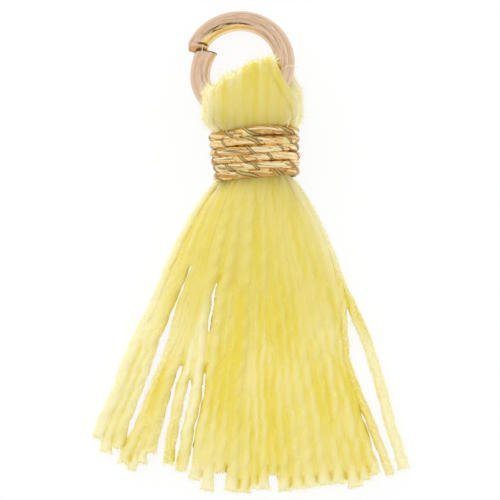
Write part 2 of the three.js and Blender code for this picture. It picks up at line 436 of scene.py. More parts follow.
def thread_group() -> bpy.types.NodeTree:
    """Group that turns a thread's map into a place that closes on itself round the thread.

    The angle is a whole turn times (v - u / lay), so the place is (cos angle, sin angle, u * stretch):
    a pattern there runs with the twist and has no seam.

    Returns:
        The group, with inputs Map, Lay and Stretch and outputs Place and Phase.
    """
    tree = bpy.data.node_groups.new(THREAD_GROUP, "ShaderNodeTree")
    for label, side, kind in (
        ("Map", "INPUT", "NodeSocketVector"),
        ("Lay", "INPUT", "NodeSocketFloat"),
        ("Stretch", "INPUT", "NodeSocketFloat"),
        ("Place", "OUTPUT", "NodeSocketVector"),
        ("Phase", "OUTPUT", "NodeSocketFloat"),
    ):
        tree.interface.new_socket(name=label, in_out=side, socket_type=kind)
    g = Graph(tree)
    start, end = g.node("NodeGroupInput"), g.node("NodeGroupOutput")
    along, turned, _ = g.parts(start.outputs["Map"])
    phase = g.math("SUBTRACT", turned, g.math("DIVIDE", along, start.outputs["Lay"]))
    angle = g.times(phase, TURN)
    length = g.times(along, start.outputs["Stretch"])
    spot = {0: g.math("COSINE", angle), 1: g.math("SINE", angle), 2: length}
    g.fill(end, {"Place": g.node("ShaderNodeCombineXYZ", spot).outputs[0], "Phase": phase})
    return tree


def on_the_thread(g: Graph, lay: float, stretch: float) -> tuple[Socket, Socket]:
    """Puts the thread group into a material, on the piece's own map.

    Args:
        g: the material's graph.
        lay: length in which the pattern goes round once.
        stretch: how fast the pattern changes along the thread.

    Returns:
        The place on the thread, and the turns gone by there.
    """
    tree = bpy.data.node_groups.get(THREAD_GROUP) or thread_group()
    inputs = {"Map": g.map(), "Lay": lay, "Stretch": stretch}
    made = g.node("ShaderNodeGroup", inputs, node_tree=tree)
    return made.outputs["Place"], made.outputs["Phase"]


def new_material(name: str) -> tuple[bpy.types.Material, Graph, bpy.types.Node]:
    """Material with one Principled shader.

    Args:
        name: the material's name.

    Returns:
        The material, its graph and its shader.
    """
    material = bpy.data.materials.new(name)
    material.use_nodes = True
    shader = material.node_tree.nodes["Principled BSDF"]
    return material, Graph(material.node_tree), shader


# ---------------------------------------------------------------- finishes


@dataclass(frozen=True)
class YarnFinish:
    """Soft matt yarn: pale where it lies thin, and deeper yellow in the thick of it and where strands lie
    on each other, as painted light of the light that bounces between them.

    Args:
        pale, body, deep: a lone strand, the thick of the skirt and the furrows between strands; body and
            deep are painted light, the deeper colour of light bouncing in the pile.
        lay: length in which the two plies go round once.
        relief: strength of the fine relief.
        glow, painted_rim_glow: painted glow that lifts the shade on the strands, all over, and more where
            a strand turns away from the view.
    """

    name: str = "soft_yarn"
    pale: Colour = colour(226, 219, 173)
    body: Colour = colour(215, 201, 115)
    deep: Colour = colour(212, 194, 76)
    lay: float = 2.1
    relief: float = 0.25
    glow: float = 0.17
    painted_rim_glow: float = 0.42

    def make(self) -> bpy.types.Material:
        """Builds the material.

        Returns:
            The material.
        """
        material, g, shader = new_material(self.name)
        place, _ = on_the_thread(g, self.lay, 0.3)
        fibres = g.noise(place, 7.0, 4.0, 0.65)
        lint = g.noise(place, 1.6, 2.0)
        # Painted light: thick parts and sheltered furrows take the deeper colours, as light bouncing
        # between strands would; the buried value also carries the dye streaks.
        base = g.blend(g.value("thick"), self.pale, self.body)
        patchy = g.plus(g.value("buried"), g.sway(lint, 0.2))
        base = g.blend(g.steps(patchy, 0.0, 1.0), base, self.deep)
        # Painted shade: the value read here darkens the head and is warmed in green by the power; the
        # fibre noise is the yarn's own uneven colour.
        shade = g.times(g.between(0.97, 1.03, fibres), g.value("tone"))
        base = g.filtered(base, shade, g.math("POWER", shade, 1.2), shade)
        # Painted glow: the strand's own colour is emitted to lift its shade, more at its turned-away
        # edges.
        turned = g.node("ShaderNodeLayerWeight", {"Blend": 0.5}).outputs["Facing"]
        through = g.between(self.glow / self.painted_rim_glow, 1.0, g.steps(turned, 0.35, 0.95))
        inputs = {
            "Base Color": base,
            "Emission Color": g.filtered(base, through, through, through),
            "Emission Strength": self.painted_rim_glow,
            "Roughness": g.between(0.8, 1.0, fibres),
            "Normal": g.bump(fibres, self.relief, 0.03),
            "Specular IOR Level": 0.15,
            "Sheen Weight": 0.15,
            "Sheen Roughness": 0.6,
            "Sheen Tint": self.pale,
        }
        g.fill(shader, inputs)
        return material


@dataclass(frozen=True)
class FoilFinish:
    """Gold foil wound round a core thread: the foil leaves a narrow slanting gap that shows the core.

    Args:
        gold, worn, dull: the foil, and its facets in painted highlight and in painted dim reflection.
        painted_crease_shade: painted shade in its creases, on its flanks and at its edges by the gap.
        core, thread: the thread in the gap, darker as painted shade of the recess, and the same thread's
            own colour where the foil is rubbed away.
        lay: length in which the foil goes round once.
        gap: share of that length which it leaves open.
    """

    name: str = "gold_foil_thread"
    gold: Colour = colour(255, 216, 148)
    painted_highlight: Colour = colour(255, 236, 182)
    painted_dim_reflection: Colour = colour(213, 163, 92)
    painted_crease_shade: Colour = colour(112, 76, 30)
    core: Colour = colour(190, 168, 98)
    thread: Colour = colour(226, 214, 142)
    lay: float = 1.3
    gap: float = 0.12

    def make(self) -> bpy.types.Material:
        """Builds the material.

        Returns:
            The material.
        """
        material, g, shader = new_material(self.name)
        place, phase = on_the_thread(g, self.lay, 1.0)
        lengthwise, _ = on_the_thread(g, 9.0, 0.5)
        band = g.node("ShaderNodeTexWhiteNoise", {"W": g.math("FLOOR", phase)}, noise_dimensions="1D")
        edge = g.off(g.math("FRACT", phase), 0.5)
        side = 0.5 - self.gap / 2
        foil = g.rest(g.steps(edge, side - 0.01, side + 0.01))
        # Painted shade: dark edges of the foil along the gap.
        rim = g.rest(g.steps(g.off(edge, side), 0.01, 0.032))
        crinkle = g.noise(place, 5.0, 3.0, 0.6)
        cells = {"Vector": lengthwise, "Scale": 2.2, "Randomness": 1.0}
        facet = g.parts(g.node("ShaderNodeTexVoronoi", cells).outputs["Color"])[0]
        seams = g.node("ShaderNodeTexVoronoi", cells, feature="DISTANCE_TO_EDGE").outputs["Distance"]
        where = g.node("ShaderNodeTexCoord").outputs["Object"]
        bare = g.steps(g.noise(where, 900.0, 1.0), 0.66, 0.72)
        # Painted reflection: each band, facet and crinkle picks dim, plain or highlighted foil, as facets
        # tilted to the light would show.
        share = g.plus(g.plus(facet, g.sway(band.outputs[0], 0.3)), g.sway(crinkle, 0.35))
        gold = g.blend(g.steps(share, 0.2, 0.34), self.painted_dim_reflection, self.gold)
        gold = g.blend(g.steps(share, 0.62, 0.7), gold, self.painted_highlight)
        # Painted shade: the flanks where turns touch and the seams between facets go dark.
        painted_flank_shade = g.steps(g.off(g.parts(g.map())[1], 0.5), 0.17, 0.25)
        painted_crease_shade = g.greater(g.times(g.rest(g.steps(seams, 0.01, 0.05)), 0.7), g.times(painted_flank_shade, 0.75))
        gold = g.blend(painted_crease_shade, gold, self.painted_crease_shade)
        # The core in the gap is the thread in painted shade; bare spots show the thread's own colour.
        base = g.blend(foil, self.core, g.blend(bare, gold, self.thread))
        height = g.plus(g.plus(foil, g.times(crinkle, 0.4)), facet)
        inputs = {
            "Base Color": g.blend(g.times(rim, 0.85), base, self.painted_crease_shade),
            "Metallic": g.times(foil, g.rest(bare)),
            "Roughness": g.plus(g.between(0.16, 0.36, crinkle), g.times(g.rest(foil), 0.5)),
            "Normal": g.bump(height, 0.8, 0.03),
        }
        g.fill(shader, inputs)
        return material


@dataclass(frozen=True)
class PaintedStreak:
    """A streak of painted reflection along the wire: share of a turn, width, depth, and where it starts
    and stops.
    """

    where: float
    width: float
    depth: float
    start: float
    stop: float


@dataclass(frozen=True)
class PlatedFinish:
    """Light-gold plating on drawn wire: rosy outside, with a painted yellow reflection inside near the
    first end, and fine lines of painted reflection along it.

    Args:
        rosy: plating on the outside and the top.
        yellow: painted reflection on the inner side near the wire's first end.
        tarnish, bright: the tarnished speckles, painted dark reflection in the dark lines and painted
            shade at the last cut; bright is painted highlight in the light lines.
        cut: bare metal of the first cut.
        lines, rubs: lines of painted dark reflection, and lines of painted highlight.
        yellow_until: length over which the inner side is yellow, and fades.
        wider: how much further the yellow reaches over the wire at its first end.
        whole: length of the wire.
    """

    name: str = "light_gold_plating"
    rosy: Colour = colour(235, 202, 169)
    yellow: Colour = colour(255, 226, 170)
    tarnish_and_painted_dark: Colour = colour(104, 70, 34)
    bright: Colour = colour(255, 240, 205)
    cut: Colour = colour(226, 160, 92)
    lines: tuple[PaintedStreak, ...] = (
        PaintedStreak(0.352, 0.024, 1.0, 0.3, 3.6),
        PaintedStreak(0.395, 0.03, 0.9, 0.7, 2.2),
        PaintedStreak(0.372, 0.01, 0.5, 0.0, 9.0),
        PaintedStreak(0.286, 0.014, 0.5, 0.3, 8.0),
        PaintedStreak(0.236, 0.012, 0.35, 1.2, 7.0),
        PaintedStreak(0.3, 0.02, 0.4, 9.5, 12.5),
        PaintedStreak(0.17, 0.012, 0.35, 2.0, 6.5),
        PaintedStreak(0.415, 0.012, 0.5, 4.5, 9.0),
    )
    painted_highlights: tuple[PaintedStreak, ...] = (
        PaintedStreak(0.34, 0.016, 0.9, 9.6, 12.6),
        PaintedStreak(0.4, 0.012, 0.8, 9.4, 12.2),
        PaintedStreak(0.4, 0.02, 0.7, 0.2, 2.6),
        PaintedStreak(0.2, 0.03, 0.5, 1.5, 7.5),
        PaintedStreak(0.27, 0.02, 0.5, 9.4, 12.4),
    )
    yellow_until: tuple[float, float] = (2.3, 3.9)
    wider: float = 0.07
    whole: float = 12.1

    def make(self) -> bpy.types.Material:
        """Builds the material.

        Returns:
            The material.
        """
        material, g, shader = new_material(self.name)
        place, _ = on_the_thread(g, 400.0, 0.25)
        drawn = g.noise(place, 9.0, 3.0, 0.6)
        patch = g.noise(place, 1.7, 3.0)
        along, turned, _ = g.parts(g.map())
        # Painted reflection: yellow on the inner side, widest at the first end and fading along the wire.
        widen = g.times(g.rest(g.steps(along, 0.2, 2.8)), self.wider)
        share = g.plus(g.plus(turned, g.sway(patch, 0.05)), widen)
        inner = g.times(g.steps(share, 0.345, 0.37), g.rest(g.steps(share, 0.52, 0.56)))
        fades = g.rest(g.steps(along, *self.yellow_until))
        base = g.blend(g.times(inner, g.between(0.1, 1.0, fades)), self.rosy, self.yellow)
        # Painted dark reflections and painted highlights, as streaks along the wire.
        marks = [(line, self.tarnish_and_painted_dark, (0.35, 0.6)) for line in self.lines]
        marks += [(line, self.bright, (0.6, 0.35)) for line in self.painted_highlights]
        for line, tint, broken in marks:
            mark = g.rest(g.steps(g.off(share, line.where), 0.25 * line.width, line.width))
            mark = g.times(mark, g.steps(along, line.start, line.start + 0.6))
            mark = g.times(mark, g.rest(g.steps(along, line.stop - 0.8, line.stop)))
            mark = g.times(mark, g.steps(drawn, *broken))
            base = g.blend(g.times(mark, line.depth), base, tint)
        half = self.whole / 2
        # Bare metal at the first cut; painted shade at the last cut.
        cut_metal_and_painted_shade = g.times(g.steps(g.off(along, half), half - 0.09, half - 0.03), 0.7)
        base = g.blend(cut_metal_and_painted_shade, base, g.blend(g.steps(along, 0.5, 1.0), self.cut, self.tarnish_and_painted_dark))
        speckle = g.times(g.steps(drawn, 0.5, 0.8), 0.42)
        inputs = {
            "Base Color": g.blend(speckle, base, self.tarnish_and_painted_dark),
            "Metallic": 1.0,
            "Roughness": g.between(0.2, 0.4, patch),
            "Normal": g.bump(drawn, 0.35, 0.01),
        }
        g.fill(shader, inputs)
        return material


# ---------------------------------------------------------------- the tassel


def in_millimetres(box: tuple) -> list[Array]:
    """Low and high corner of a box of the frame, in millimetres."""
    return [np.array(corner) / MM for corner in box]


@dataclass
class Neck:
    """The middle of the binding, which all else is measured from, and the room inside it.

    Args:
        x, y, z: its middle in the frame, in millimetres.
        half_width, half_height: outside of the binding.
        thread: diameter of the binding thread.
    """

    x: float
    y: float
    z: float
    half_width: float
    half_height: float
    thread: float = 0.445

    @classmethod
    def of_frame(cls) -> "Neck":
        """Reads the neck from the binding's box.

        Returns:
            The neck.
        """
        low, high = in_millimetres(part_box("binding_thread"))
        x, y, z = (low + high) / 2
        return cls(x, y, z, (high[0] - low[0]) / 2 - 0.05, z)

    def place(self, points: Array) -> Array:
        """Moves points from the neck's own x and y into the frame, with z kept."""
        return points + np.array([self.x, self.y, 0.0])

    def room(self, slack: float) -> tuple[float, float]:
        """Half the room across and in height inside the binding, less a slack."""
        return self.half_width - self.thread - slack, self.half_height - self.thread - slack

    def above(self, points: Array) -> Array:
        """How far up the tassel points of the frame lie from the neck's middle."""
        return points[:, 1] - self.y


class Layer(Enum):
    """Which side of the skirt a strand belongs to."""

    FACE = "face"
    BACK = "back"


@dataclass
class HemEnd:
    """Where one strand of the face is cut, and its way there.

    Args:
        across, down: place of the cut, from the middle of the neck.
        bow: power of the way outwards. Under 1 it goes sideways first, over 1 late.
        swing: how far it swings outwards in its upper half, and inwards in its lower half.
        lock: strands of one number keep together, and the skirt opens between two numbers.
        stout: its greatest thickness against the others'.
    """

    across: float
    down: float
    bow: float
    swing: float
    lock: int
    stout: float = 1.12


FACE_ENDS = [
    HemEnd(-6.76, -12.60, 0.80, 0.06, 0),
    HemEnd(-6.48, -13.25, 0.83, 0.05, 0),
    HemEnd(-6.03, -13.07, 0.85, 0.03, 0),
    HemEnd(-5.6, -13.75, 0.88, 0.0, 1),
    HemEnd(-5.40, -14.02, 0.93, 0.0, 1),
    HemEnd(-4.88, -13.73, 0.90, 0.0, 1),
    HemEnd(-4.46, -13.24, 0.88, 0.0, 1),
    HemEnd(-3.78, -13.77, 0.68, 0.1, 2, 1.02),
    HemEnd(-3.17, -14.08, 0.68, 0.1, 3, 1.02),
    HemEnd(-2.62, -14.45, 0.86, 0.0, 4),
    HemEnd(-2.07, -14.92, 0.90, 0.0, 4),
    HemEnd(-1.58, -14.15, 0.92, 0.0, 4),
    HemEnd(-0.97, -14.96, 0.95, 0.0, 4),
    HemEnd(-0.37, -15.03, 1.00, 0.0, 4),
    HemEnd(-0.02, -14.83, 1.00, 0.0, 4),
    HemEnd(0.44, -14.85, 1.00, 0.0, 4),
    HemEnd(0.86, -14.25, 0.98, 0.0, 4),
    HemEnd(1.32, -14.95, 0.94, 0.0, 4),
    HemEnd(1.98, -14.87, 0.92, 0.0, 4),
    HemEnd(2.48, -14.78, 0.92, 0.0, 4),
    HemEnd(3.15, -14.71, 0.90, 0.0, 4),
    HemEnd(3.74, -14.63, 0.88, 0.0, 4),
    HemEnd(4.42, -14.78, 0.84, 0.1, 4),
    HemEnd(4.90, -14.48, 0.80, 0.2, 4),
    HemEnd(5.55, -14.21, 0.80, 0.35, 4),
    HemEnd(6.02, -14.24, 0.85, 0.5, 5, 0.72),
    HemEnd(6.56, -13.99, 0.72, 0.0, 6, 0.92),
]


@dataclass
class Slit:
    """Where the skirt opens between two locks.

    Args:
        after: number of the lock to its left.
        down: heights from its top to its bottom.
        middle, width: its middle across and its width at those heights.
    """

    after: int
    down: tuple[float, ...]
    middle: tuple[float, ...]
    width: tuple[float, ...]

    def at(self, y: Array) -> tuple[Array, Array]:
        """The gap at heights. Above and below it the width is far under 0.

        Args:
            y: heights.

        Returns:
            Its middle and half its width there.
        """
        down = np.array(self.down)
        here = (y <= down[0]) & (y >= down[-1])
        half = np.interp(-y, -down, self.width) / 2
        return np.interp(-y, -down, self.middle), np.where(here, half, -9.0)


SLITS = [
    Slit(
        0,
        down=(-3.9, -4.8, -5.6, -6.5, -7.4, -8.2, -9.2, -10.0, -10.8, -11.8, -12.4, -13.1),
        middle=(-2.2, -2.62, -2.98, -3.37, -3.68, -3.94, -4.28, -4.58, -4.9, -5.28, -5.5, -5.75),
        width=(-0.4, -0.04, 0.07, 0.14, 0.24, 0.48, 0.43, 0.35, 0.36, 0.34, 0.24, -0.1),
    ),
    Slit(
        1,
        down=(-8.6, -9.8, -11.3, -12.8, -14.2),
        middle=(-3.1, -3.47, -3.83, -4.12, -4.3),
        width=(-0.4, 0.02, 0.14, 0.3, 0.45),
    ),
    Slit(
        2,
        down=(-9.2, -10.2, -11.0, -11.8, -12.7, -14.0),
        middle=(-2.7, -2.93, -3.08, -3.2, -3.36, -3.5),
        width=(-0.4, -0.08, 0.0, 0.02, 0.07, 0.04),
    ),
    Slit(
        3,
        down=(-5.0, -5.9, -6.9, -7.8, -8.6, -9.4, -9.8, -10.3, -10.8, -11.6, -12.3, -12.9, -13.6),
        middle=(
            -1.5, -1.76, -1.91, -2.04, -2.12, -2.15, -2.17,
            -2.17, -2.25, -2.45, -2.64, -2.73, -2.9,
        ),
        width=(-0.4, 0.02, 0.05, 0.03, -0.2, -0.2, 0.0, 0.02, 0.03, 0.06, 0.08, 0.0, -0.4),
    ),
    Slit(
        4,
        down=(-10.4, -11.3, -11.8, -12.7, -13.6, -14.3),
        middle=(4.42, 4.7, 4.86, 5.18, 5.5, 5.75),
        width=(-0.4, 0.08, 0.22, 0.22, 0.2, 0.2),
    ),
    Slit(
        5,
        down=(-6.4, -7.0, -7.4, -8.3, -9.15, -10.0, -10.9, -11.8, -12.7, -13.5, -14.3),
        middle=(3.98, 4.12, 4.22, 4.44, 4.6, 4.9, 5.19, 5.5, 5.74, 6.04, 6.3),
        width=(-0.3, 0.04, 0.22, 0.58, 0.8, 0.72, 0.64, 0.46, 0.28, 0.06, -0.2),
    ),
]


@dataclass(frozen=True)
class Strands:
    """Common sizes of the soft two-ply strands.

    Args:
        radius, squeezed: of a free strand, and of one inside the binding.
        lay: length in which the two plies go round each other once.
        ply_offset: distance of a ply's middle from the strand's, over the ply's radius.
        slub: how much a strand swells and thins along its length.
        waves: least and greatest rate of each wave of that swelling, and its share.
        ridge, folds: height of the ridges that run with the twist, and numbers of them round it.
        fray: how far the fibres stick out of a cut end.
    """

    radius: float = 0.268
    squeezed: float = 0.11
    lay: float = 2.1
    ply_offset: float = 0.17
    slub: float = 0.032
    waves: tuple[Spot, ...] = ((0.9, 1.9, 0.5), (2.6, 4.4, 0.3), (6.5, 10.5, 0.35))
    ridge: float = 0.012
    folds: tuple[int, ...] = (3, 4, 5, 6)
    fray: float = 0.07

    def reach(self, path: Array, radius: Array, sides: int, rng: Chance) -> Array:
        """Skin of twisted strands along their paths.

        The radius is that of the two plies, which turn once in each lay, times slow waves along the
        strand. Ridges run with the twist: each is a sine of a whole multiple of the angle from the
        plies.

        Args:
            path: (n, m, 3) centre lines.
            radius: (n, m) mean radius.
            sides: corners of the outline.
            rng: source of each strand's own turn and thickness.

        Returns:
            (n, m, sides) reach.
        """
        each = (len(path), 1)
        length = lengths(path)
        turn = rng.uniform(0, TURN, each)
        turn = turn + TURN * length / (self.lay * rng.uniform(0.85, 1.2, each))
        turn = turn + 0.5 * np.sin(length * rng.uniform(0.5, 1.1, each) + 3 * turn[:, :1])
        uneven = np.ones_like(length)
        for low, high, share in self.waves:
            wave = np.sin(length * rng.uniform(low, high, each) + rng.uniform(0, 7, each))
            uneven = uneven + self.slub * share * wave
        size = rng.normal(1.0, 0.05, each).clip(0.9, 1.12)
        angle = round_the(sides) - turn[..., None]
        skin = (radius * size * uneven)[..., None] * two_ply(angle, self.ply_offset)
        each = (len(path), 1, 1)
        for fold in self.folds:
            drift = rng.uniform(1.5, 9.0, each) * rng.choice([-1, 1], each)
            phase = rng.uniform(0, 7, each)
            ridges = np.sin(fold * angle + drift * length[..., None] + phase)
            skin = skin + radius[..., None] * self.ridge * ridges
        return skin

    def fray_end(self, tubes: Carried, rng: Chance) -> None:
        """Roughens the cut ends: each corner of the last outline moves along the strand by chance.

        Args:
            tubes: the strands' skins, which are changed.
            rng: source of chance.
        """
        n, _, sides = tubes.reach.shape
        shift = rng.uniform(-1.0, 0.6, (n, sides, 1)) * self.fray
        for row, share in ((-1, 1.0), (-2, 0.4)):
            tubes.skin[:, row] += share * shift * tubes.along[:, -1][:, None]


@dataclass
class Skirt:
    """The fanned skirt: strands of the face, and under and between them the strands of the back.

    Args:
        neck, strands: where they come from, and their common sizes.
        top, leave: where their modelled length starts, and where they leave the binding.
        lean: how far the strands lean to the right as they leave it.
        hidden: strands of the back that lie under the widest lock, besides one in each furrow.
        fill: radius of a strand over its distance from its neighbours.
        dive: how far a strand goes down where its neighbours close over it.
        waves: reach and rate of the slow waves in which a strand strays.
        slack: room left free inside the binding.
        bound, laid: heights of the face and of the back's two depths, as shares of the room in the
            binding, and on the table.
        unlike: how far one strand's heights are off those by chance.
        hem_high, heap_high: height that the face keeps at the hem, and what it has more at the neck.
        brink: the same at the fan's outline.
        soft: distance of two touching strands over their radii, in one depth and across two.
        beside: how far apart its neighbours may be for a strand to level with them, less and less.
        cut_off: radius of a cut end over the strand's.
        station, step: spacing of the heights of packing, and of the outlines along a strand.
        rounds: rounds of packing.
        pull, fall: share of the way to its plan that a strand goes in a round, and how far it falls.
        even, push: how much it evens out along itself, and the share of an overlap that goes.
    """

    neck: Neck
    strands: Strands
    top: float = -0.2
    leave: float = -1.2
    lean: float = 0.1
    hidden: int = 16
    fill: float = 0.62
    dive: float = 0.3
    waves: tuple[tuple[float, float], ...] = ((0.05, 1.3), (0.03, 3.1))
    slack: float = 0.02
    bound: Spot = (0.75, -0.1, -0.7)
    laid: Spot = (0.95, 0.5, 0.3)
    unlike: tuple[float, float] = (0.2, 0.1)
    hem_high: float = 0.8
    heap_high: float = 1.95
    brink: float = 0.35
    soft: tuple[float, float] = (0.78, 0.6)
    beside: tuple[float, float] = (1.3, 2.2)
    cut_off: float = 0.88
    station: float = 0.2
    step: float = 0.11
    rounds: int = 420
    pull: float = 0.1
    fall: float = 0.012
    even: float = 0.4
    push: float = 0.28
    seed: int = 5

    def __post_init__(self) -> None:
        """Chooses the strands of the back, and which of the face may dive.

        One lies in each furrow between two neighbours of a lock, cut a little shorter than both, and
        the hidden ones lie anywhere under the widest lock.
        """
        rng = np.random.default_rng(self.seed)
        face = np.array([(e.across, e.down, e.bow, e.swing) for e in FACE_ENDS])
        lock = np.array([e.lock for e in FACE_ENDS])
        self.count = len(face)
        pair = np.flatnonzero(lock[1:] == lock[:-1])
        furrow = (face[pair] + face[pair + 1]) / 2
        shorter = rng.uniform(0.0, 0.25, len(pair))
        furrow[:, 1] = np.maximum(face[pair, 1], face[pair + 1, 1]) + shorter
        wide = pair[lock[pair] == np.bincount(lock).argmax()]
        under = wide[np.linspace(0, len(wide) - 1, self.hidden).round().astype(int)]
        share = rng.uniform(0, 1, (self.hidden, 1))
        hidden = face[under] * share + face[under + 1] * (1 - share)
        hidden[:, 1] = furrow[:, 1].mean() + rng.uniform(0.2, 1.2, self.hidden)
        every = np.concatenate([face, furrow, hidden])
        self.across, self.down, self.bow, self.swing = every.T[..., None]
        self.depth = np.repeat([0, 1, 2], [self.count, len(furrow), len(hidden)])
        self.under = np.concatenate([pair, under])
        chosen = np.arange(1, self.count - 1, 2) + rng.integers(0, 2, (self.count - 1) // 2)
        amid = np.zeros(self.count, bool)
        amid[1:-1] = (lock[1:-1] == lock[:-2]) & (lock[1:-1] == lock[2:])
        self.dives = np.isin(np.arange(self.count), chosen) & amid
        self.lock = np.concatenate([lock, lock[pair], lock[under]])

    def opened(self, x: Array, y: Array, radius: Array) -> Array:
        """Moves strands out of the slits: locks to the left of one stay left of it, others right.

        Args:
            x, radius: (n, m) places across and radii.
            y: (m,) heights.

        Returns:
            (n, m) places that leave every slit open.
        """
        for slit in SLITS:
            centre, half = slit.at(y)
            left = self.lock[:, None] <= slit.after
            edge = np.where(left, centre - half - radius, centre + half + radius)
            beyond = np.where(left, x > edge, x < edge) & (half > -1)
            x = np.where(beyond, x + 0.6 * (edge - x), x)
        return x

    def apart(self, plan: Array) -> Array:
        """Mean distance of each strand of the face from its two neighbours."""
        gap = np.diff(plan[: self.count], axis=0)
        return (np.concatenate([gap[:1], gap]) + np.concatenate([gap, gap[-1:]])) / 2

    def shown(self, plan: Array) -> Array:
        """How far each strand of the face shows: one of each pair dives where its neighbours are near."""
        crowd = ease(self.apart(plan) / (2 * self.strands.radius), 0.4, 0.68)
        return np.where(self.dives[:, None], crowd, 1.0)

    def over(self, rows: Array) -> Array:
        """Mean of the two strands of the face over each strand of the back."""
        return (rows[self.under] + rows[self.under + 1]) / 2

    def room_for(self, plan: Array, shown: Array) -> Array:
        """Radii of the strands: soft yarn takes the room it has, up to its own radius.

        A strand of the face has the mean distance from both neighbours times the fill, and the room
        of those that dive. One of the back has the mean of the two over it.

        Args:
            plan: (n, m) planned places across.
            shown: (face, m) shares of the face's strands at the surface.

        Returns:
            (n, m) radii.
        """
        wide = np.pad(shown, ((2, 2), (0, 0)), mode="edge")
        busy = (wide[:-4] + 2 * wide[1:-3] + 2 * wide[2:-2] + 2 * wide[3:-1] + wide[4:]) / 8
        room = self.fill * self.apart(plan) * (shown / busy + 1 - shown)
        stout = np.array([end.stout for end in FACE_ENDS])[:, None]
        radius = room.clip(self.strands.squeezed, stout * self.strands.radius)
        for _ in range(6):
            radius[:, 1:-1] = (radius[:, :-2] + 2 * radius[:, 1:-1] + radius[:, 2:]) / 4
        return np.concatenate([radius, self.over(radius)])

    def planned(self, y: Array, t: Array, room: float, rng: Chance) -> tuple[Array, Array]:
        """Where the strands would lie with nothing in their way.

        They start side by side in the binding. Each goes outwards by the power of its bow, with its
        swing and two slow waves of its own.

        Args:
            y: (m,) heights.
            t: (n, m) shares of the way from the binding to each hem.
            room: half the room across in the binding.
            rng: source of the waves.

        Returns:
            (n, 1) places across at the start and (n, m) places further down.
        """
        rank = np.arange(self.count)[:, None] / (self.count - 1)
        start = (2 * rank - 1) * (room - self.strands.squeezed) + self.lean
        start = np.concatenate([start, self.over(start)])
        plan = start + (self.across - start) * t**self.bow
        plan = plan + self.swing * np.sin(TURN * np.clip(t, 0, 1)) * np.sign(self.across)
        wave = rng.uniform(0, TURN, (2, len(start), 1))
        waves = sum(far * np.sin(rate * y + begin) for (far, rate), begin in zip(self.waves, wave))
        return start, plan + ease(t, 0.1, 0.5) * waves

    def heaped(self, y: Array, plan: Array) -> Array:
        """Height that the face keeps: an arch across the fan, which flattens towards the hem.

        Args:
            y: (m,) heights along the skirt.
            plan: (n, m) planned places across.

        Returns:
            (count, m) heights over the table.
        """
        share = plan[: self.count]
        share = share / np.where(share < 0, -plan.min(0), plan.max(0))
        crown = self.hem_high + self.heap_high * (1 - ease(-y, 0.9, 9.2))
        return self.brink + (crown - self.brink) * np.sqrt(1 - 0.95 * share**2)

    def settled(self) -> tuple[Array, Array]:
        """Packs the strands: they fan out as planned, sink on to the table and hold each other off.

        At each height every strand is a disc. In each round a disc moves towards its planned place,
        falls, evens out with the same strand just above and below, is pushed off the discs that it
        overlaps, and stays above the table and inside the binding. The face evens out with its
        neighbours too, and the back stays under it.

        Returns:
            (strands, heights, 3) centre lines and (strands, heights) radii.
        """
        rng = np.random.default_rng(self.seed + 1)
        n, faces, middle = len(self.across), self.count, self.neck.z
        y = np.arange(self.top, self.down.min() - self.station, -self.station)
        t = np.clip((self.leave + 0.15 - y) / (self.leave - self.down), 0, 1.05)
        room_x, room_z = self.neck.room(self.slack)
        start, plan = self.planned(y, t, room_x, rng)
        shown = self.shown(plan)
        radius = self.room_for(plan, shown)
        dive = self.dive * (1 - shown)
        heap = self.heaped(y, plan)
        bound, laid = (
            np.array(level)[self.depth, None] + rng.uniform(-off, off, (n, 1))
            for level, off in zip((self.bound, self.laid), self.unlike)
        )
        arch = np.sqrt(np.clip(1 - (start / room_x) ** 2, 0.05, 1)) * room_z
        x, z = plan.copy(), middle + bound * arch * np.ones_like(t)
        z = z * (1 - ease(t, 0, 0.4)) + laid * ease(t, 0, 0.4)
        square = 1 / np.sqrt(1 + (np.gradient(plan, axis=1) / self.station) ** 2)
        square = 0.5 * (square[:, None] + square[None])
        soft = np.where(self.depth[:, None] == self.depth[None], *self.soft)[..., None]
        want = soft * (radius[:, None] + radius[None])
        alive = y > self.down - self.station
        both = (alive[:, None] & alive[None]) & ~np.eye(n, dtype=bool)[..., None]
        for turn in range(self.rounds):
            settle = 1 - turn / self.rounds
            x += self.pull * (plan - x)
            z -= self.fall * (0.3 + settle)
            for line in (x, z):
                line[:, 1:-1] += self.even * (0.5 * (line[:, :-2] + line[:, 2:]) - line[:, 1:-1])
            dx, dz = (x[:, None] - x[None]) * square, z[:, None] - z[None]
            apart = np.sqrt(dx**2 + dz**2) + 1e-6
            push = np.where(both, np.clip(want - apart, 0, None), 0) / apart * self.push
            x += (push * dx).sum(1)
            z += (push * dz).sum(1)
            out = np.sqrt((x / (room_x - radius)) ** 2 + ((z - middle) / (room_z - radius)) ** 2)
            back = np.where((y > self.leave) & (out > 1), 1 / out, 1)
            x, z = x * back, middle + (z - middle) * back
            x = self.opened(x, y, radius)
            lifted = z[:faces] + dive
            level = (lifted[:-2] + lifted[2:]) / 2
            near = 1 - ease(x[2:faces] - x[: faces - 2], *self.beside)
            z[1 : faces - 1] += 0.25 * near * (level - lifted[1:-1])
            z[:faces] += 0.06 * np.clip(heap - lifted, 0, None)
            z[:faces] -= 0.1 * dive
            z[faces:] = np.minimum(z[faces:], self.over(z) - 0.12 * self.depth[faces:, None])
            z = np.maximum(z, radius * ON_TABLE)
        return np.stack([x, np.broadcast_to(y, x.shape), z], -1), radius

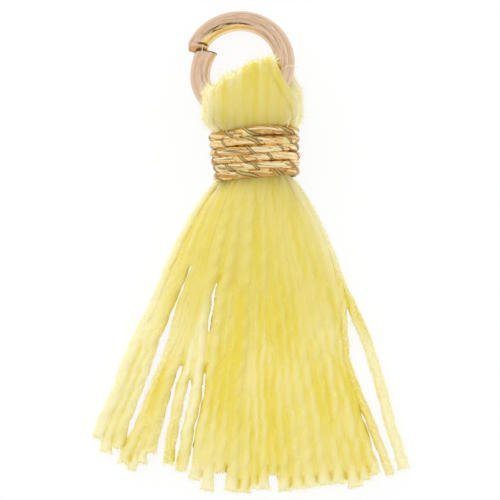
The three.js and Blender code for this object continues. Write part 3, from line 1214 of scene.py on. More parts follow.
    def cut_to_length(self, path: Array, radius: Array) -> tuple[Array, Array]:
        """Cuts each settled line at its own hem and reads it again in even steps, by cubics.

        Args:
            path: (n, m, 3) lines at common heights.
            radius: (n, m) radii there.

        Returns:
            (n, steps, 3) lines and (n, steps) radii.
        """
        steps = int((self.top - self.down.min()) / self.step)
        y = self.top + (self.down - self.top) * np.linspace(0, 1, steps)
        place = (self.top - y) / self.station
        last = path.shape[1] - 1
        low = np.floor(place).astype(int).clip(0, last - 1)
        share = place - low
        rows = np.arange(len(path))[:, None]
        before, a, b, after = (path[rows, (low + k).clip(0, last)] for k in (-1, 0, 1, 2))
        line = cubic(share[..., None], (a, b), ((b - before) / 2, (after - a) / 2))
        wide = radius[rows, low] * (1 - share) + radius[rows, low + 1] * share
        wide[:, -1] *= self.cut_off
        return line, wide

    def tubes(self) -> dict[Layer, Carried]:
        """Settles the strands and gives them their skins.

        Returns:
            The skins of the face and of the back.
        """
        line, wide = self.cut_to_length(*self.settled())
        line = self.neck.place(line)
        rng = np.random.default_rng(self.seed + 2)
        made = {}
        for layer, chosen, sides in (
            (Layer.FACE, self.depth == 0, 16),
            (Layer.BACK, self.depth > 0, 10),
        ):
            reach = self.strands.reach(line[chosen], wide[chosen], sides, rng)
            made[layer] = Carried(line[chosen], reach, (1, 0, 0))
            self.strands.fray_end(made[layer], rng)
        return made


@dataclass(frozen=True)
class FoldRow:
    """One height of the loop: shares of its rise, of its thickness and of its spread at the front."""

    rise: float
    lift: float
    spread: float


FOLD_ROWS = [
    FoldRow(-0.45, 0.62, 0.0),
    FoldRow(-0.12, 0.92, 0.4),
    FoldRow(0.06, 1.04, 0.86),
    FoldRow(0.36, 1.03, 1.0),
    FoldRow(0.68, 0.98, 1.0),
    FoldRow(0.92, 0.68, 1.0),
]


@dataclass(frozen=True)
class FoldLayer:
    """One layer of the fold: how many strands, how thick it is and how far inside the crown."""

    count: int
    lift: float
    inside: float


@dataclass
class Loop:
    """The loop of yarn over the ring: nested hairpins, the front ones over the ring's wire.

    Args:
        neck, strands: where it starts, and common sizes.
        bottom: where the loop leaves the binding.
        front, crown, behind: x of the outer strands at the front, where they fold inside the ring,
            and at the back.
        crown_line: place across and height of the fold's edge.
        ring_middle: place across and height of the ring's middle.
        ring_inside: radius inside the ring's wire, over which every fold lies.
        layers: the layers of hairpins, from the outermost in.
        chance: how far a hairpin strays across, in thickness and in height.
        slack: room left free inside the binding.
    """

    neck: Neck
    strands: Strands
    bottom: float = 1.2
    front: tuple[float, float] = (-1.93, 1.58)
    crown: tuple[float, float] = (-1.76, 0.68)
    behind: tuple[float, float] = (-1.4, 1.72)
    crown_line: tuple[tuple[float, float], ...] = (
        (-2.0, 2.5),
        (-1.5, 2.98),
        (-0.92, 3.36),
        (0.0, 3.86),
        (0.9, 4.1),
    )
    ring_middle: tuple[float, float] = (-0.7, 3.82)
    ring_inside: float = 1.63
    layers: tuple[FoldLayer, ...] = (
        FoldLayer(11, 1.36, 0.24),
        FoldLayer(9, 1.02, 0.5),
        FoldLayer(7, 0.7, 0.8),
    )
    chance: Spot = (0.03, 0.04, 0.05)
    slack: float = 0.14
    steps: int = 90
    sides: int = 12
    seed: int = 11

    def paths(self) -> tuple[Array, Array]:
        """Centre lines and radii of the hairpins.

        A hairpin goes up the front by the rows of the fold, over the crown and down the back by the
        same rows from last to first, while its x goes from the neck's to the front's, the crown's and
        the back's.

        Returns:
            (n, steps, 3) lines and (n, steps) radii.
        """
        rng = np.random.default_rng(self.seed)
        across = np.concatenate([np.linspace(-1, 1, layer.count) for layer in self.layers])
        off_x, off_lift, off_height = (rng.normal(0, far, len(across)) for far in self.chance)
        across = across + off_x
        counts = [layer.count for layer in self.layers]
        lift = np.repeat([layer.lift for layer in self.layers], counts)
        inside = np.repeat([layer.inside for layer in self.layers], counts)
        lift = lift * (1 - 0.12 * np.abs(across) ** 3) + off_lift
        front, crown, behind = (
            (a + b) / 2 + across * (b - a) / 2 for a, b in (self.front, self.crown, self.behind)
        )
        edge = np.interp(crown, *zip(*self.crown_line))
        off = crown - self.ring_middle[0]
        wire = self.ring_middle[1] - np.sqrt(np.clip(self.ring_inside**2 - off**2, 0.3, None))
        height = np.maximum(edge - inside, wire - 0.08) + off_height
        neck_x = across * self.neck.room(self.slack)[0]
        room = np.sqrt(np.clip(1 - (0.8 * across) ** 2, 0, 1))
        halves = {1: [], -1: []}
        for side, wide, late in ((1, front, 0.15), (-1, behind, 0.6)):
            for row in FOLD_ROWS:
                turned, held = ease(row.rise, late, 1.05), 1 - ease(row.rise, -0.1, 0.45)
                x = neck_x + row.spread * ((1 - turned) * wide + turned * crown - neck_x)
                y = self.bottom + row.rise * (height - self.bottom)
                flat = row.lift * (lift + held * (np.minimum(lift, 1.2) * room - lift))
                halves[side].append(np.stack([x, y, self.neck.z + side * flat], -1))
        fold = np.stack([crown, height, np.full_like(across, self.neck.z)], -1)
        line = spline(np.stack([*halves[1], fold, *halves[-1][::-1]], 1), self.steps)
        squeeze = ease(line[..., 1], self.bottom - 0.5, self.bottom + 0.45)
        radius = self.strands.squeezed + (self.strands.radius - self.strands.squeezed) * squeeze
        wave = rng.uniform(0, TURN, (len(line), 1))
        line[..., 0] += 0.05 * squeeze * np.sin(2.0 * line[..., 1] + wave)
        line[..., 2] = np.maximum(line[..., 2], radius * ON_TABLE)
        return line, radius

    def tubes(self) -> Carried:
        """Gives the hairpins their skins.

        Returns:
            The skins.
        """
        line, radius = self.paths()
        rng = np.random.default_rng(self.seed + 1)
        reach = self.strands.reach(line, radius, self.sides, rng)
        return Carried(self.neck.place(line), reach, (1, 0, 0))


def blurred(grid: Array, cells: int) -> Array:
    """Mean of a grid over a square window round each cell.

    Args:
        grid: (n, m) numbers.
        cells: how far the window reaches to each side.

    Returns:
        (n, m) means.
    """
    for axis in (0, 1):
        grid = sum(np.roll(grid, k, axis) for k in range(-cells, cells + 1)) / (2 * cells + 1)
    return grid


def highest(grid: Array, cells: int) -> Array:
    """Highest value of a grid within a square window round each cell.

    Args:
        grid: (n, m) numbers.
        cells: how far the window reaches to each side.

    Returns:
        (n, m) highest values.
    """
    for axis in (0, 1):
        grid = np.max([np.roll(grid, k, axis) for k in range(-cells, cells + 1)], axis=0)
    return grid


@dataclass
class Pile:
    """Height maps of the heap of strands, which tell how sheltered a place in it is.

    Args:
        skins: the (n, m, sides, 3) skins of all strands.
        cell: size of a cell of the maps.
        near: cells to each side in which the crest of the nearest strand is sought.
        window, wide: the same for the filled share, and for the distance from the outline.
        empty: height in the cells that no strand covers, above or below every other.
    """

    skins: list[Array]
    cell: float = 0.07
    near: int = 3
    window: int = 4
    wide: int = 12
    empty: float = 9.0

    def __post_init__(self) -> None:
        """Fills the maps from the corners of the skins and the middles between them."""
        points = np.concatenate([self._dense(skin) for skin in self.skins])
        self.low = points[:, :2].min(0) - 1.0
        size = np.ceil((points[:, :2].max(0) + 1.0 - self.low) / self.cell).astype(int)
        self.top, self.under = np.full(size, -self.empty), np.full(size, self.empty)
        cells = self._cell(points)
        np.maximum.at(self.top, cells, points[:, 2])
        np.minimum.at(self.under, cells, points[:, 2])
        full = self.top > -self.empty
        self.filled, self.inside = (blurred(full.astype(float), k) for k in (self.window, self.wide))
        self.crest = self._even(highest(self.top, self.near), full, 2)
        self.floor = -self._even(highest(-self.under, self.near), full, 2)
        self.mean_top, self.wide_top = (self._even(self.top, full, cells) for cells in (3, 6))
        self.mean_under = self._even(self.under, full, 3)
        low = -highest(np.where(full, -self.top, -self.empty), 2)
        high = highest(np.where(full, self.under, -self.empty), 2)
        self.step_top = np.where(full, highest(self.top, 2) - low, 0.0)
        self.step_under = np.where(full, high + highest(-self.under, 2), 0.0)

    @staticmethod
    def _dense(skin: Array) -> Array:
        """Corners of a skin, and the middles along it, round it and between both.

        Args:
            skin: (n, m, sides, 3) corners.

        Returns:
            (k, 3) points.
        """
        rings = [skin, (skin[:, :-1] + skin[:, 1:]) / 2]
        rings += [(ring + np.roll(ring, -1, axis=2)) / 2 for ring in rings]
        return np.concatenate([ring.reshape(-1, 3) for ring in rings])

    @staticmethod
    def _even(heights: Array, full: Array, cells: int) -> Array:
        """Evens heights out over the filled cells round each cell."""
        share = np.maximum(blurred(full.astype(float), cells), 1e-3)
        return blurred(np.where(full, heights, 0.0), cells) / share

    def _cell(self, points: Array) -> tuple[Array, Array]:
        """Cell of each point."""
        place = np.floor((points[..., :2] - self.low) / self.cell).astype(int)
        return place[..., 0], place[..., 1]

    def buried(self, points: Array) -> Array:
        """How sheltered points are, from 0 on a strand's crest to 1 in the furrows and below.

        Args:
            points: (v, 3) places.

        Returns:
            (v,) shelter, which is 0 outside the pile's outline.
        """
        cell = self._cell(points)
        relief = np.maximum(self.crest - self.mean_top, 0.03)[cell]
        below = np.minimum(self.crest[cell] - points[..., 2], points[..., 2] - self.floor[cell])
        return ease(self.filled[cell], 0.72, 1.0) * ease(below / relief, 0.0, 2.2)

    def thick(self, points: Array) -> Array:
        """Thickness of the pile at points, from 0 for one strand to 1 for three."""
        cell = self._cell(points)
        return ease(self.crest[cell] - self.floor[cell], 0.45, 1.3) * ease(self.inside[cell], 0.5, 0.98)

    def rim(self, points: Array) -> Array:
        """How near points are to the pile's outline, from 0 well inside it to 1."""
        return 1 - ease(self.filled[self._cell(points)], 0.75, 1.0)

    def open_to_air(self, points: Array) -> Array:
        """Tells which points lie on or near the outside of the pile.

        Args:
            points: (..., 3) points.

        Returns:
            True where one does.
        """
        cell = self._cell(points)
        outside = self.crest[cell] - points[..., 2] < 0.2
        outside = outside | (points[..., 2] - self.floor[cell] < 0.2)
        return outside | (self.filled[cell] < 0.75)


@dataclass
class Matting:
    """The fibres that have felted together between the strands and fill their furrows.

    Args:
        pile: the heap of strands.
        neck: parts the loop from the skirt.
        sink, upper_sink, head_sink: depth of the felted fibres under the mean height of the strands
            at the hem, at the binding and in the loop.
        rough: how far they rise and sink by chance.
        edge: least filled share where they still hold.
        fade: length over the hem in which they thin out.
        thin: how far they draw back from the surface where they don't hold.
        cliff: greatest step between neighbouring strands that they bridge.
        felt: thickness of the felted skin of the loop, which is hollow.
        girth: distance across over which the fibres' pattern goes round once.
    """

    pile: Pile
    neck: Neck
    sink: float = 0.022
    upper_sink: float = 0.014
    head_sink: float = -0.07
    rough: float = 0.012
    edge: float = 0.87
    fade: float = 0.4
    thin: float = 0.3
    cliff: float = 0.55
    felt: float = 0.3
    girth: float = 1.7
    seed: int = 31

    def surface(self) -> Surface:
        """Closed bodies over the maps' cells: one in the skirt, and the two skins of the loop.

        Returns:
            The bodies, with the way down the tassel and across it as their map.
        """
        pile, neck = self.pile, self.neck
        x, y = (pile.low[k] + pile.cell * (np.arange(pile.top.shape[k]) + 0.5) for k in (0, 1))
        x, y = np.meshgrid(x, y, indexing="ij")
        top, under, full = self._sides(x, y)
        head = full & (y > neck.y - 0.5)
        points, quads = [], []
        for upper, lower, held in (
            (top, under, full & (y < neck.y)),
            (top, np.maximum(top - self.felt, under), head),
            (np.minimum(under + self.felt, top), under, head),
        ):
            quads.append(self._shell(held) + 2 * x.size * len(quads))
            points += [np.stack([x, y, upper], -1), np.stack([x, y, lower], -1)]
        used, quads = np.unique(np.concatenate(quads), return_inverse=True)
        points = np.stack(points).reshape(-1, 3)[used]
        corners = points[quads.ravel()]
        uv = np.stack([-corners[:, 1], corners[:, 0] / self.girth], -1)
        return Surface(points, quads, uv=uv)

    def _sides(self, x: Array, y: Array) -> tuple[Array, ...]:
        """Upper side, underside and extent of the matting.

        The sides are the mean upper side and underside of the strands, each less the sink. They come
        together towards the pile's outline and the hem, and near the binding as half an ellipse.

        Args:
            x, y: places of the maps' cells.

        Returns:
            Heights of both sides, and the cells that are full.
        """
        pile, up = self.pile, y - self.neck.y
        chance = blurred(np.random.default_rng(self.seed).normal(0, 1, x.shape), 1)
        for k in (1, 2, 4):
            chance = chance + np.roll(chance, k, axis=1)
        chance = chance / chance.std() * self.rough
        hold = ease(pile.filled, self.edge, 1.0)
        hem = np.where(hold > 0, y, np.inf).min(1, keepdims=True)
        hold = hold * ease(y - hem, 0.0, self.fade)
        sink = self.upper_sink + (self.sink - self.upper_sink) * ease(-up, 3.0, 8.0)
        sink = np.where(up > 0, self.head_sink, sink)
        cliff = self.cliff * (1 + 1.6 * ease(up, -11.0, -8.0))
        bridged, below = (1 - ease(step / cliff, 0.6, 1.0) for step in (pile.step_top, pile.step_under))
        top = np.where(up > 0, pile.wide_top, pile.mean_top) + chance - sink
        top = top - self.thin * (1 - hold * bridged)
        under = pile.mean_under - chance + sink + self.thin * (1 - hold * below)
        middle = (top + under) / 2
        bulge = np.sqrt(1 - (1 - np.clip(2 * pile.inside - 1, 0, 1)) ** 2)
        narrow = 1 - ease(up, -9.0, -5.0) * (up < 0) * (1 - bulge)
        top, under = (middle + (side - middle) * narrow for side in (top, under))
        full = (hold > 0.02) & (bridged > 0.02) & (top - under > 0.1)
        full = highest(-highest(-full.astype(float), 2), 2) > 0.5
        for slit in SLITS:
            centre, half = slit.at(up)
            full = full & ((half < 0) | (np.abs(x - self.neck.x - centre) > half + 0.06))
        return top, under, full

    @staticmethod
    def _shell(node: Array) -> Array:
        """Faces of a closed body over the cells with four full corners: its top, underside and sides.

        Args:
            node: which corners of the grid are full.

        Returns:
            (f, 4) corner numbers, counted over the upper grid and then the lower.
        """
        face = np.pad(node[:-1, :-1] & node[1:, :-1] & node[1:, 1:] & node[:-1, 1:], 1)
        corner = np.arange(2 * node.size).reshape(2, *node.shape)
        inner = face[1:-1, 1:-1]
        a, b, c, d = (corner[:, :-1, :-1], corner[:, 1:, :-1], corner[:, 1:, 1:], corner[:, :-1, 1:])
        walls = [
            np.stack([a[0], b[0], c[0], d[0]], -1)[inner],
            np.stack([a[1], d[1], c[1], b[1]], -1)[inner],
        ]
        for outside, (p, q) in (
            (face[1:-1, :-2], (a, b)),
            (face[2:, 1:-1], (b, c)),
            (face[1:-1, 2:], (c, d)),
            (face[:-2, 1:-1], (d, a)),
        ):
            walls.append(np.stack([p[0], p[1], q[1], q[0]], -1)[inner & ~outside])
        return np.concatenate(walls)


@dataclass(frozen=True)
class Fuzz:
    """Fine loose fibres: most lie along the strands and bridge their furrows, others stand off.

    Args:
        count: fibres wanted on a piece.
        shortest, spread, longest: least length, mean of what the others have more, and most.
        thickness, rooted: radius at the root, and the root's depth under the skin.
        lying: share of fibres that lie along the strand.
        inner: how thickly they grow away from the yarn's outline, against 1 at it.
        ends: share of the tries at a strand's cut end.
    """

    count: int = 9000
    shortest: float = 0.06
    spread: float = 0.07
    longest: float = 0.3
    thickness: float = 0.007
    lying: float = 0.62
    inner: float = 0.035
    ends: float = 0.1
    rooted: float = 0.012

    def on(self, tubes: Carried, rows: Array, pile: Pile, seed: int) -> Surface:
        """Grows fibres on tubes, where they are open to the air.

        A fibre leaves the skin along a mix of the skin's outward direction, the strand's direction and
        chance, and bends over halfway. A lying fibre is twice as long and leaves the skin flatly. One
        at a cut end goes on along the strand.

        Args:
            tubes: the strands.
            rows: which of them.
            pile: tells the outside of the yarn.
            seed: of the chance.

        Returns:
            The fibres as one surface.
        """
        rng = np.random.default_rng(seed)
        i, j, k = self._places(tubes, rows, pile, rng)
        each = (len(i), 1)
        ahead = rng.uniform(-0.5, 0.5, each)
        root = tubes.skin[i, j, k] * (1 - np.abs(ahead))
        root = root + tubes.skin[i, j + np.sign(ahead[:, 0]).astype(int), k] * np.abs(ahead)
        out, along = tubes.outwards[i, j, k], tubes.along[i, j]
        across = np.cross(along, out)
        cut = (j == tubes.reach.shape[1] - 2)[:, None]
        lies = (rng.uniform(0, 1, each) < self.lying) & ~cut
        heading = along * rng.choice([-1, 1], each) + across * rng.normal(0.0, 0.45, each)
        flat = unit(heading) + out * rng.uniform(0.06, 0.28, each)
        steep = out * rng.uniform(0.4, 1.0, each) + along * rng.normal(0, 0.7, each)
        onwards = along + out * rng.uniform(0.0, 0.6, each)
        start = np.where(cut, onwards, np.where(lies, flat, steep))
        start = unit(unit(start) + rng.normal(0, 0.15, root.shape))
        bend = np.cross(start, rng.normal(0, 1, root.shape)) - np.where(lies, 0.6, 0.3) * out
        length = (self.shortest + rng.exponential(self.spread, each)).clip(0, self.longest)
        length = length * np.where(lies, 2.0, 1.0)
        return self._spikes(root - self.rooted * out, start, unit(bend), length)

    def _places(self, tubes: Carried, rows: Array, pile: Pile, rng: Chance) -> tuple[Array, ...]:
        """Places of the roots: open to the air, most of them near the pile's outline.

        Args:
            tubes: skins of the strands.
            rows: strands that may bear fibres.
            pile: the heap they lie in.
            rng: source of chance.

        Returns:
            Strand, ring and corner of each root.
        """
        _, m, sides = tubes.reach.shape
        tries = 12 * self.count
        i, j, k = rng.choice(rows, tries), rng.integers(1, m - 1, tries), rng.integers(0, sides, tries)
        j = np.where(rng.uniform(0, 1, tries) < self.ends, m - 2, j)
        place = tubes.skin[i, j, k]
        wanted = rng.uniform(0, 1, tries) < self.inner + (1 - self.inner) * pile.rim(place)
        wanted = wanted | (j == m - 2)
        chosen = np.flatnonzero(pile.open_to_air(place) & wanted)[: self.count]
        return i[chosen], j[chosen], k[chosen]

    def _spikes(self, root: Array, start: Array, bend: Array, length: Array) -> Surface:
        """Thin three-sided spikes with a bend, which stay above the table.

        Args:
            root: (n, 3) where they start.
            start, bend: (n, 3) directions of their first half, and in which they bend over.
            length: (n, 1) lengths.

        Returns:
            The spikes, seven points each.
        """
        middle = root + 0.5 * length * start
        tip = root + length * (start + 0.45 * bend) * 0.9
        side = unit(np.cross(start, bend))
        up = np.cross(side, start)
        angle = round_the(3)[:, None]
        outline = self.thickness * (np.cos(angle) * side[:, None] + np.sin(angle) * up[:, None])
        rings = [root[:, None] + outline, middle[:, None] + 0.8 * outline, tip[:, None]]
        points = np.concatenate(rings, 1)
        points[..., 2] = np.maximum(points[..., 2], 0.002)
        base = 7 * np.arange(len(root))[:, None, None]
        quads = base + np.array([[0, 1, 4, 3], [1, 2, 5, 4], [2, 0, 3, 5]])
        spikes = base + np.array([[3, 4, 6], [4, 5, 6], [5, 3, 6], [0, 2, 1]])
        made = Surface(points, quads, spikes, np.zeros((quads.size + spikes.size, 2)))
        # Painted light: the fibres are brightened to lift their own shade.
        return made.valued(buried=0.25, thick=0.5, tone=1.08)


@dataclass
class Dye:
    """How strongly the dye has taken, in soft streaks that run down the fan and up the loop.

    Args:
        neck: the streaks part from a point above it.
        apex: height of that point over the neck.
        streaks: (width in shares of the height under the apex, length, strength) of each set.
    """

    neck: Neck
    apex: float = 3.15
    streaks: tuple[Spot, ...] = ((0.016, 1.6, 0.12), (0.045, 3.2, 0.24), (0.1, 4.5, 0.12))
    seed: int = 41

    def at(self, points: Array) -> Array:
        """Strength of the dye at points.

        Each set is a grid of chance numbers over the direction from the apex and the height, read
        with smooth steps between its corners.

        Args:
            points: (v, 3) places in the frame.

        Returns:
            (v,) numbers about 0.
        """
        rng = np.random.default_rng(self.seed)
        y = self.neck.above(points)
        direction = (points[:, 0] - self.neck.x) / (self.apex + np.maximum(-y, 0.0))
        total = np.zeros(len(points))
        for width, length, strength in self.streaks:
            grid = rng.normal(0, 1, (int(2.4 / width), int(30 / length)))
            i, j = (direction + 1.0) / width, (y + 20.0) / length
            i0 = np.floor(i).astype(int).clip(0, grid.shape[0] - 2)
            j0 = np.floor(j).astype(int).clip(0, grid.shape[1] - 2)
            s, t = ease(i - i0, 0.0, 1.0), ease(j - j0, 0.0, 1.0)
            lower, upper = (grid[i0, row] * (1 - s) + grid[i0 + 1, row] * s for row in (j0, j0 + 1))
            total += strength * (lower * (1 - t) + upper * t)
        return total


@dataclass
class Stray:
    """One long loose fibre: its middle line from the neck's middle, and its thickness."""

    line: tuple[Spot, ...]
    radius: float = 0.013


STRAYS = [
    Stray(((1.25, 3.5, 2.75), (1.5, 3.6, 3.0), (1.86, 3.55, 2.9))),
    Stray(((1.2, 2.24, 2.9), (1.55, 2.36, 2.95), (2.02, 2.38, 2.7))),
    Stray(((-1.3, 2.85, 2.2), (-1.54, 3.3, 2.35), (-1.42, 3.52, 2.4), (-1.2, 3.36, 2.4)), 0.008),
    Stray(((-2.24, 4.72, 1.08), (-2.29, 4.4, 1.16), (-2.24, 4.05, 1.08))),
    Stray(((-2.33, 2.9, 2.8), (-2.2, 2.1, 2.9), (-2.02, 1.35, 2.6)), 0.01),
    Stray(((1.36, 2.1, 2.9), (1.56, 1.5, 3.0), (1.42, 0.95, 3.1))),
    Stray(((1.72, 1.9, 2.4), (1.6, 1.4, 2.8), (1.3, 1.12, 3.0)), 0.01),
]


@dataclass
class Hank:
    """All of the yarn: the loop, the skirt's face and back, and the fuzz on them.

    Args:
        neck: where it is bound.
        finish, down: finish of the strands and the matting, and of the loose fibres.
        strands: common sizes.
        fuzz, loop_fuzz: loose fibres on each fuzzy piece of the skirt, and on the loop.
        dyed: depth of the dye where nothing adds to it.
        uneven: how much deeper or paler one strand is than another.
        head_dyed, crown_dyed, furrow_painted_shade: what the head, the fold over the ring and the furrows
            have more; in the furrows it is painted shade, the deeper colour of light bouncing there.
        dimmed, rim_painted_shade: painted shade, how much darker the head is inside its outline and at
            it.
    """

    neck: Neck
    finish: YarnFinish = YarnFinish()
    # Painted light: the loose fibres are paler than the yarn and glow, to lift their own shade.
    down: YarnFinish = YarnFinish(
        "soft_fuzz",
        colour(248, 243, 214),
        colour(246, 240, 200),
        colour(240, 228, 150),
        glow=0.18,
        painted_rim_glow=0.18,
    )
    strands: Strands = Strands()
    fuzz: Fuzz = Fuzz()
    loop_fuzz: Fuzz = Fuzz(
        18000, spread=0.12, longest=0.5, thickness=0.0055, lying=0.15, inner=0.005, ends=0.0
    )
    dyed: float = 0.15
    uneven: float = 0.07
    head_dyed: float = 0.03
    crown_dyed: float = 0.14
    furrow_painted_shade: float = 0.62
    head_painted_shade: float = 0.11
    rim_painted_shade: float = 0.02
    seed: int = 51

    def build(self) -> list[bpy.types.Object]:
        """Builds and dresses the yarn.

        Returns:
            Its pieces.
        """
        material = self.finish.make()
        skirt = Skirt(self.neck, self.strands).tubes()
        face, back = skirt[Layer.FACE], skirt[Layer.BACK]
        loop = Loop(self.neck, self.strands).tubes()
        tubes = {"yarn_skirt_face": face, "yarn_skirt_back": back, "yarn_loop": loop}
        pile = Pile([each.skin for each in tubes.values()])
        surfaces = {name: each.surface() for name, each in tubes.items()}
        surfaces["yarn_matting"] = Matting(pile, self.neck).surface()
        rng = np.random.default_rng(self.seed)
        made = []
        for name, surface in surfaces.items():
            self.dye(surface, pile)
            if name in tubes:
                own = rng.normal(0, self.uneven, (len(tubes[name].path), 1))
                surface.values["buried"] += tubes[name].spread(own)
            made.append(surface.build(name, material))
        made.append(self.strays().build("stray_fibres", material))
        downy = self.down.make()
        rows = np.arange(len(face.path))
        half = len(rows) // 2
        for seed, (name, each, grown, kind) in enumerate(
            (
                ("fuzz_skirt_left", face, rows[:half], self.fuzz),
                ("fuzz_skirt_right", face, rows[half:], self.fuzz),
                ("fuzz_skirt_back", back, np.arange(len(back.path)), self.fuzz),
                ("fuzz_loop", loop, np.arange(len(loop.path)), self.loop_fuzz),
            )
        ):
            made.append(kind.on(each, grown, pile, seed).build(name, downy))
        for piece in made:
            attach(piece, "root")
            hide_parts("yarn_hank")
        return made

    def dye(self, surface: Surface, pile: Pile) -> None:
        """Gives a surface the values that its finish reads: dye, painted shade in the furrows and on the
        head, and thickness.

        Args:
            surface: strands or matting, in the frame.
            pile: tells how sheltered and how thick it is there.
        """
        points = surface.points
        up = self.neck.above(points)
        head, crown = ease(up, -2.0, 0.8), ease(up, 1.8, 3.4)
        deeper = self.dyed + self.head_dyed * head + self.crown_dyed * crown
        # Painted shade: sheltered furrows get the deeper colour.
        deeper = deeper + self.furrow_painted_shade * pile.buried(points)
        surface.values["buried"] = deeper + Dye(self.neck).at(points)
        surface.values["thick"] = pile.thick(points)
        # Painted shade: the head is darker, less so at its outline.
        head_painted_shade = self.head_painted_shade + (self.rim_painted_shade - self.head_painted_shade) * pile.rim(points)
        surface.values["tone"] = 1 - ease(up, -4.6, 0.8) * head_painted_shade

    def strays(self) -> Surface:
        """The long loose fibres, each a thin tube along a spline.

        Returns:
            Their surface.
        """
        line = np.concatenate([spline(np.array(stray.line)[None], 24) for stray in STRAYS])
        radius = np.array([stray.radius for stray in STRAYS])[:, None, None]
        reach = np.broadcast_to(radius, (*line.shape[:2], 5))
        surface = Carried(self.neck.place(line), reach, (0, 0, 1)).surface()
        return surface.valued(buried=0.0, thick=0.0, tone=1.0)


@dataclass
class Turn:
    """One turn of the binding thread: its height at the left, and at the right after the front."""

    left: float
    right: float


TURNS = [
    Turn(-1.08, -0.92),
    Turn(-0.76, -0.56),
    Turn(-0.45, -0.19),
    Turn(-0.13, 0.17),
    Turn(0.21, 0.53),
    Turn(0.57, 0.87),
]


@dataclass
class Binding:
    """The gold thread wound round the neck.

    Args:
        neck: what it goes round.
        uneven: how far a turn strays from its place.
        waves: rate in a turn, and share, of each wave of that straying.
        bed: least distance of two turns that lie side by side, nearer ones lie on each other.
        stacked: share of the height that a turn on another gains.
        tucked: share of the last turn that is left off, as it would lie tucked under the others.
        lean: how much further to the right the lower turns lie.
        points: points on each turn.
    """

    neck: Neck
    finish: FoilFinish = FoilFinish()
    uneven: float = 0.04
    waves: tuple[tuple[float, float], ...] = ((0.87, 0.8), (1.63, 0.8), (3.7, 0.5))
    bed: float = 0.33
    stacked: float = 0.4
    tucked: float = 0.36
    lean: float = 0.1
    points: int = 170
    sides: int = 20
    seed: int = 21

    def path(self) -> Array:
        """Centre line of the thread: round an ellipse, over the front from left to right.

        The height goes in half waves from one side's to the other's, with slow waves of its own.
        Where a turn comes nearer than the bed to an earlier one it lies on that one, farther out by
        a share of the rest of the bed's distance.

        Returns:
            (1, m, 3) points.
        """
        neck, radius = self.neck, self.neck.thread / 2
        turn = np.arange(len(TURNS) * self.points) / self.points
        sides = np.array([(t.left, t.right) for t in TURNS]).ravel()
        sides = np.append(sides, sides[-1] + 0.1)
        half = np.floor(2 * turn).astype(int)
        y = sides[half] + (sides[half + 1] - sides[half]) * ease(2 * turn - half, 0.0, 1.0)
        start = np.random.default_rng(self.seed).uniform(0, TURN, 6)
        for k, (rate, share) in enumerate(self.waves):
            y = y + self.uneven * share * np.sin(TURN * rate * turn + start[k])
        rows = y.reshape(len(TURNS), self.points)
        out = np.zeros_like(rows)
        for k in range(1, len(TURNS)):
            near = np.clip(self.bed**2 - (rows[k] - rows[:k]) ** 2, 0, None)
            out[k] = (out[:k] + np.sqrt(near)).max(0)
        out = np.pad(self.stacked * out.ravel().clip(0, 0.4), 8, "edge")
        out = np.convolve(out, np.ones(17) / 17, "valid")
        out = out - 0.05 + 0.015 * np.sin(5 * turn + start[4])
        angle = np.pi - TURN * turn
        x = (neck.half_width - radius + out) * np.cos(angle) + self.lean * ease(-y, -0.2, 0.6)
        z = neck.z + (neck.half_height - radius + out) * np.sin(angle)
        shown = turn < len(TURNS) - self.tucked
        return np.stack([x, y, np.maximum(z, radius)], -1)[None, shown]

    def build(self) -> bpy.types.Object:
        """Builds and dresses the thread.

        The foil stands a little off the core at its gap, and its lay is drawn longer and shorter by
        two slow waves.

        Returns:
            The piece.
        """
        path = even_steps(self.path(), len(TURNS) * self.points)
        length = lengths(path)
        drawn = 0.2 * np.sin(1.7 * length) + 0.12 * np.sin(4.1 * length + 1.0)
        side = np.arange(self.sides) / self.sides
        phase = side - (length + drawn)[..., None] / self.finish.lay
        edge = np.abs(phase - np.floor(phase) - 0.5)
        covered = 0.5 - self.finish.gap / 2
        foil = 1 - ease(edge, covered - 0.06, covered + 0.03)
        reach = self.neck.thread / 2 * (0.89 + 0.11 * foil + 0.04 * np.cos(3 * TURN * phase))
        inwards = -(path - np.array([0, 0, self.neck.z])) * np.array([1.0, 0.0, 1.4])
        surface = Carried(self.neck.place(path), reach, inwards).surface()
        surface.uv[::2] += np.interp(surface.uv[::2], length[0], drawn[0])
        piece = surface.build("wound_thread", self.finish.make())
        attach(piece, "root")
        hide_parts("binding_thread")
        return piece


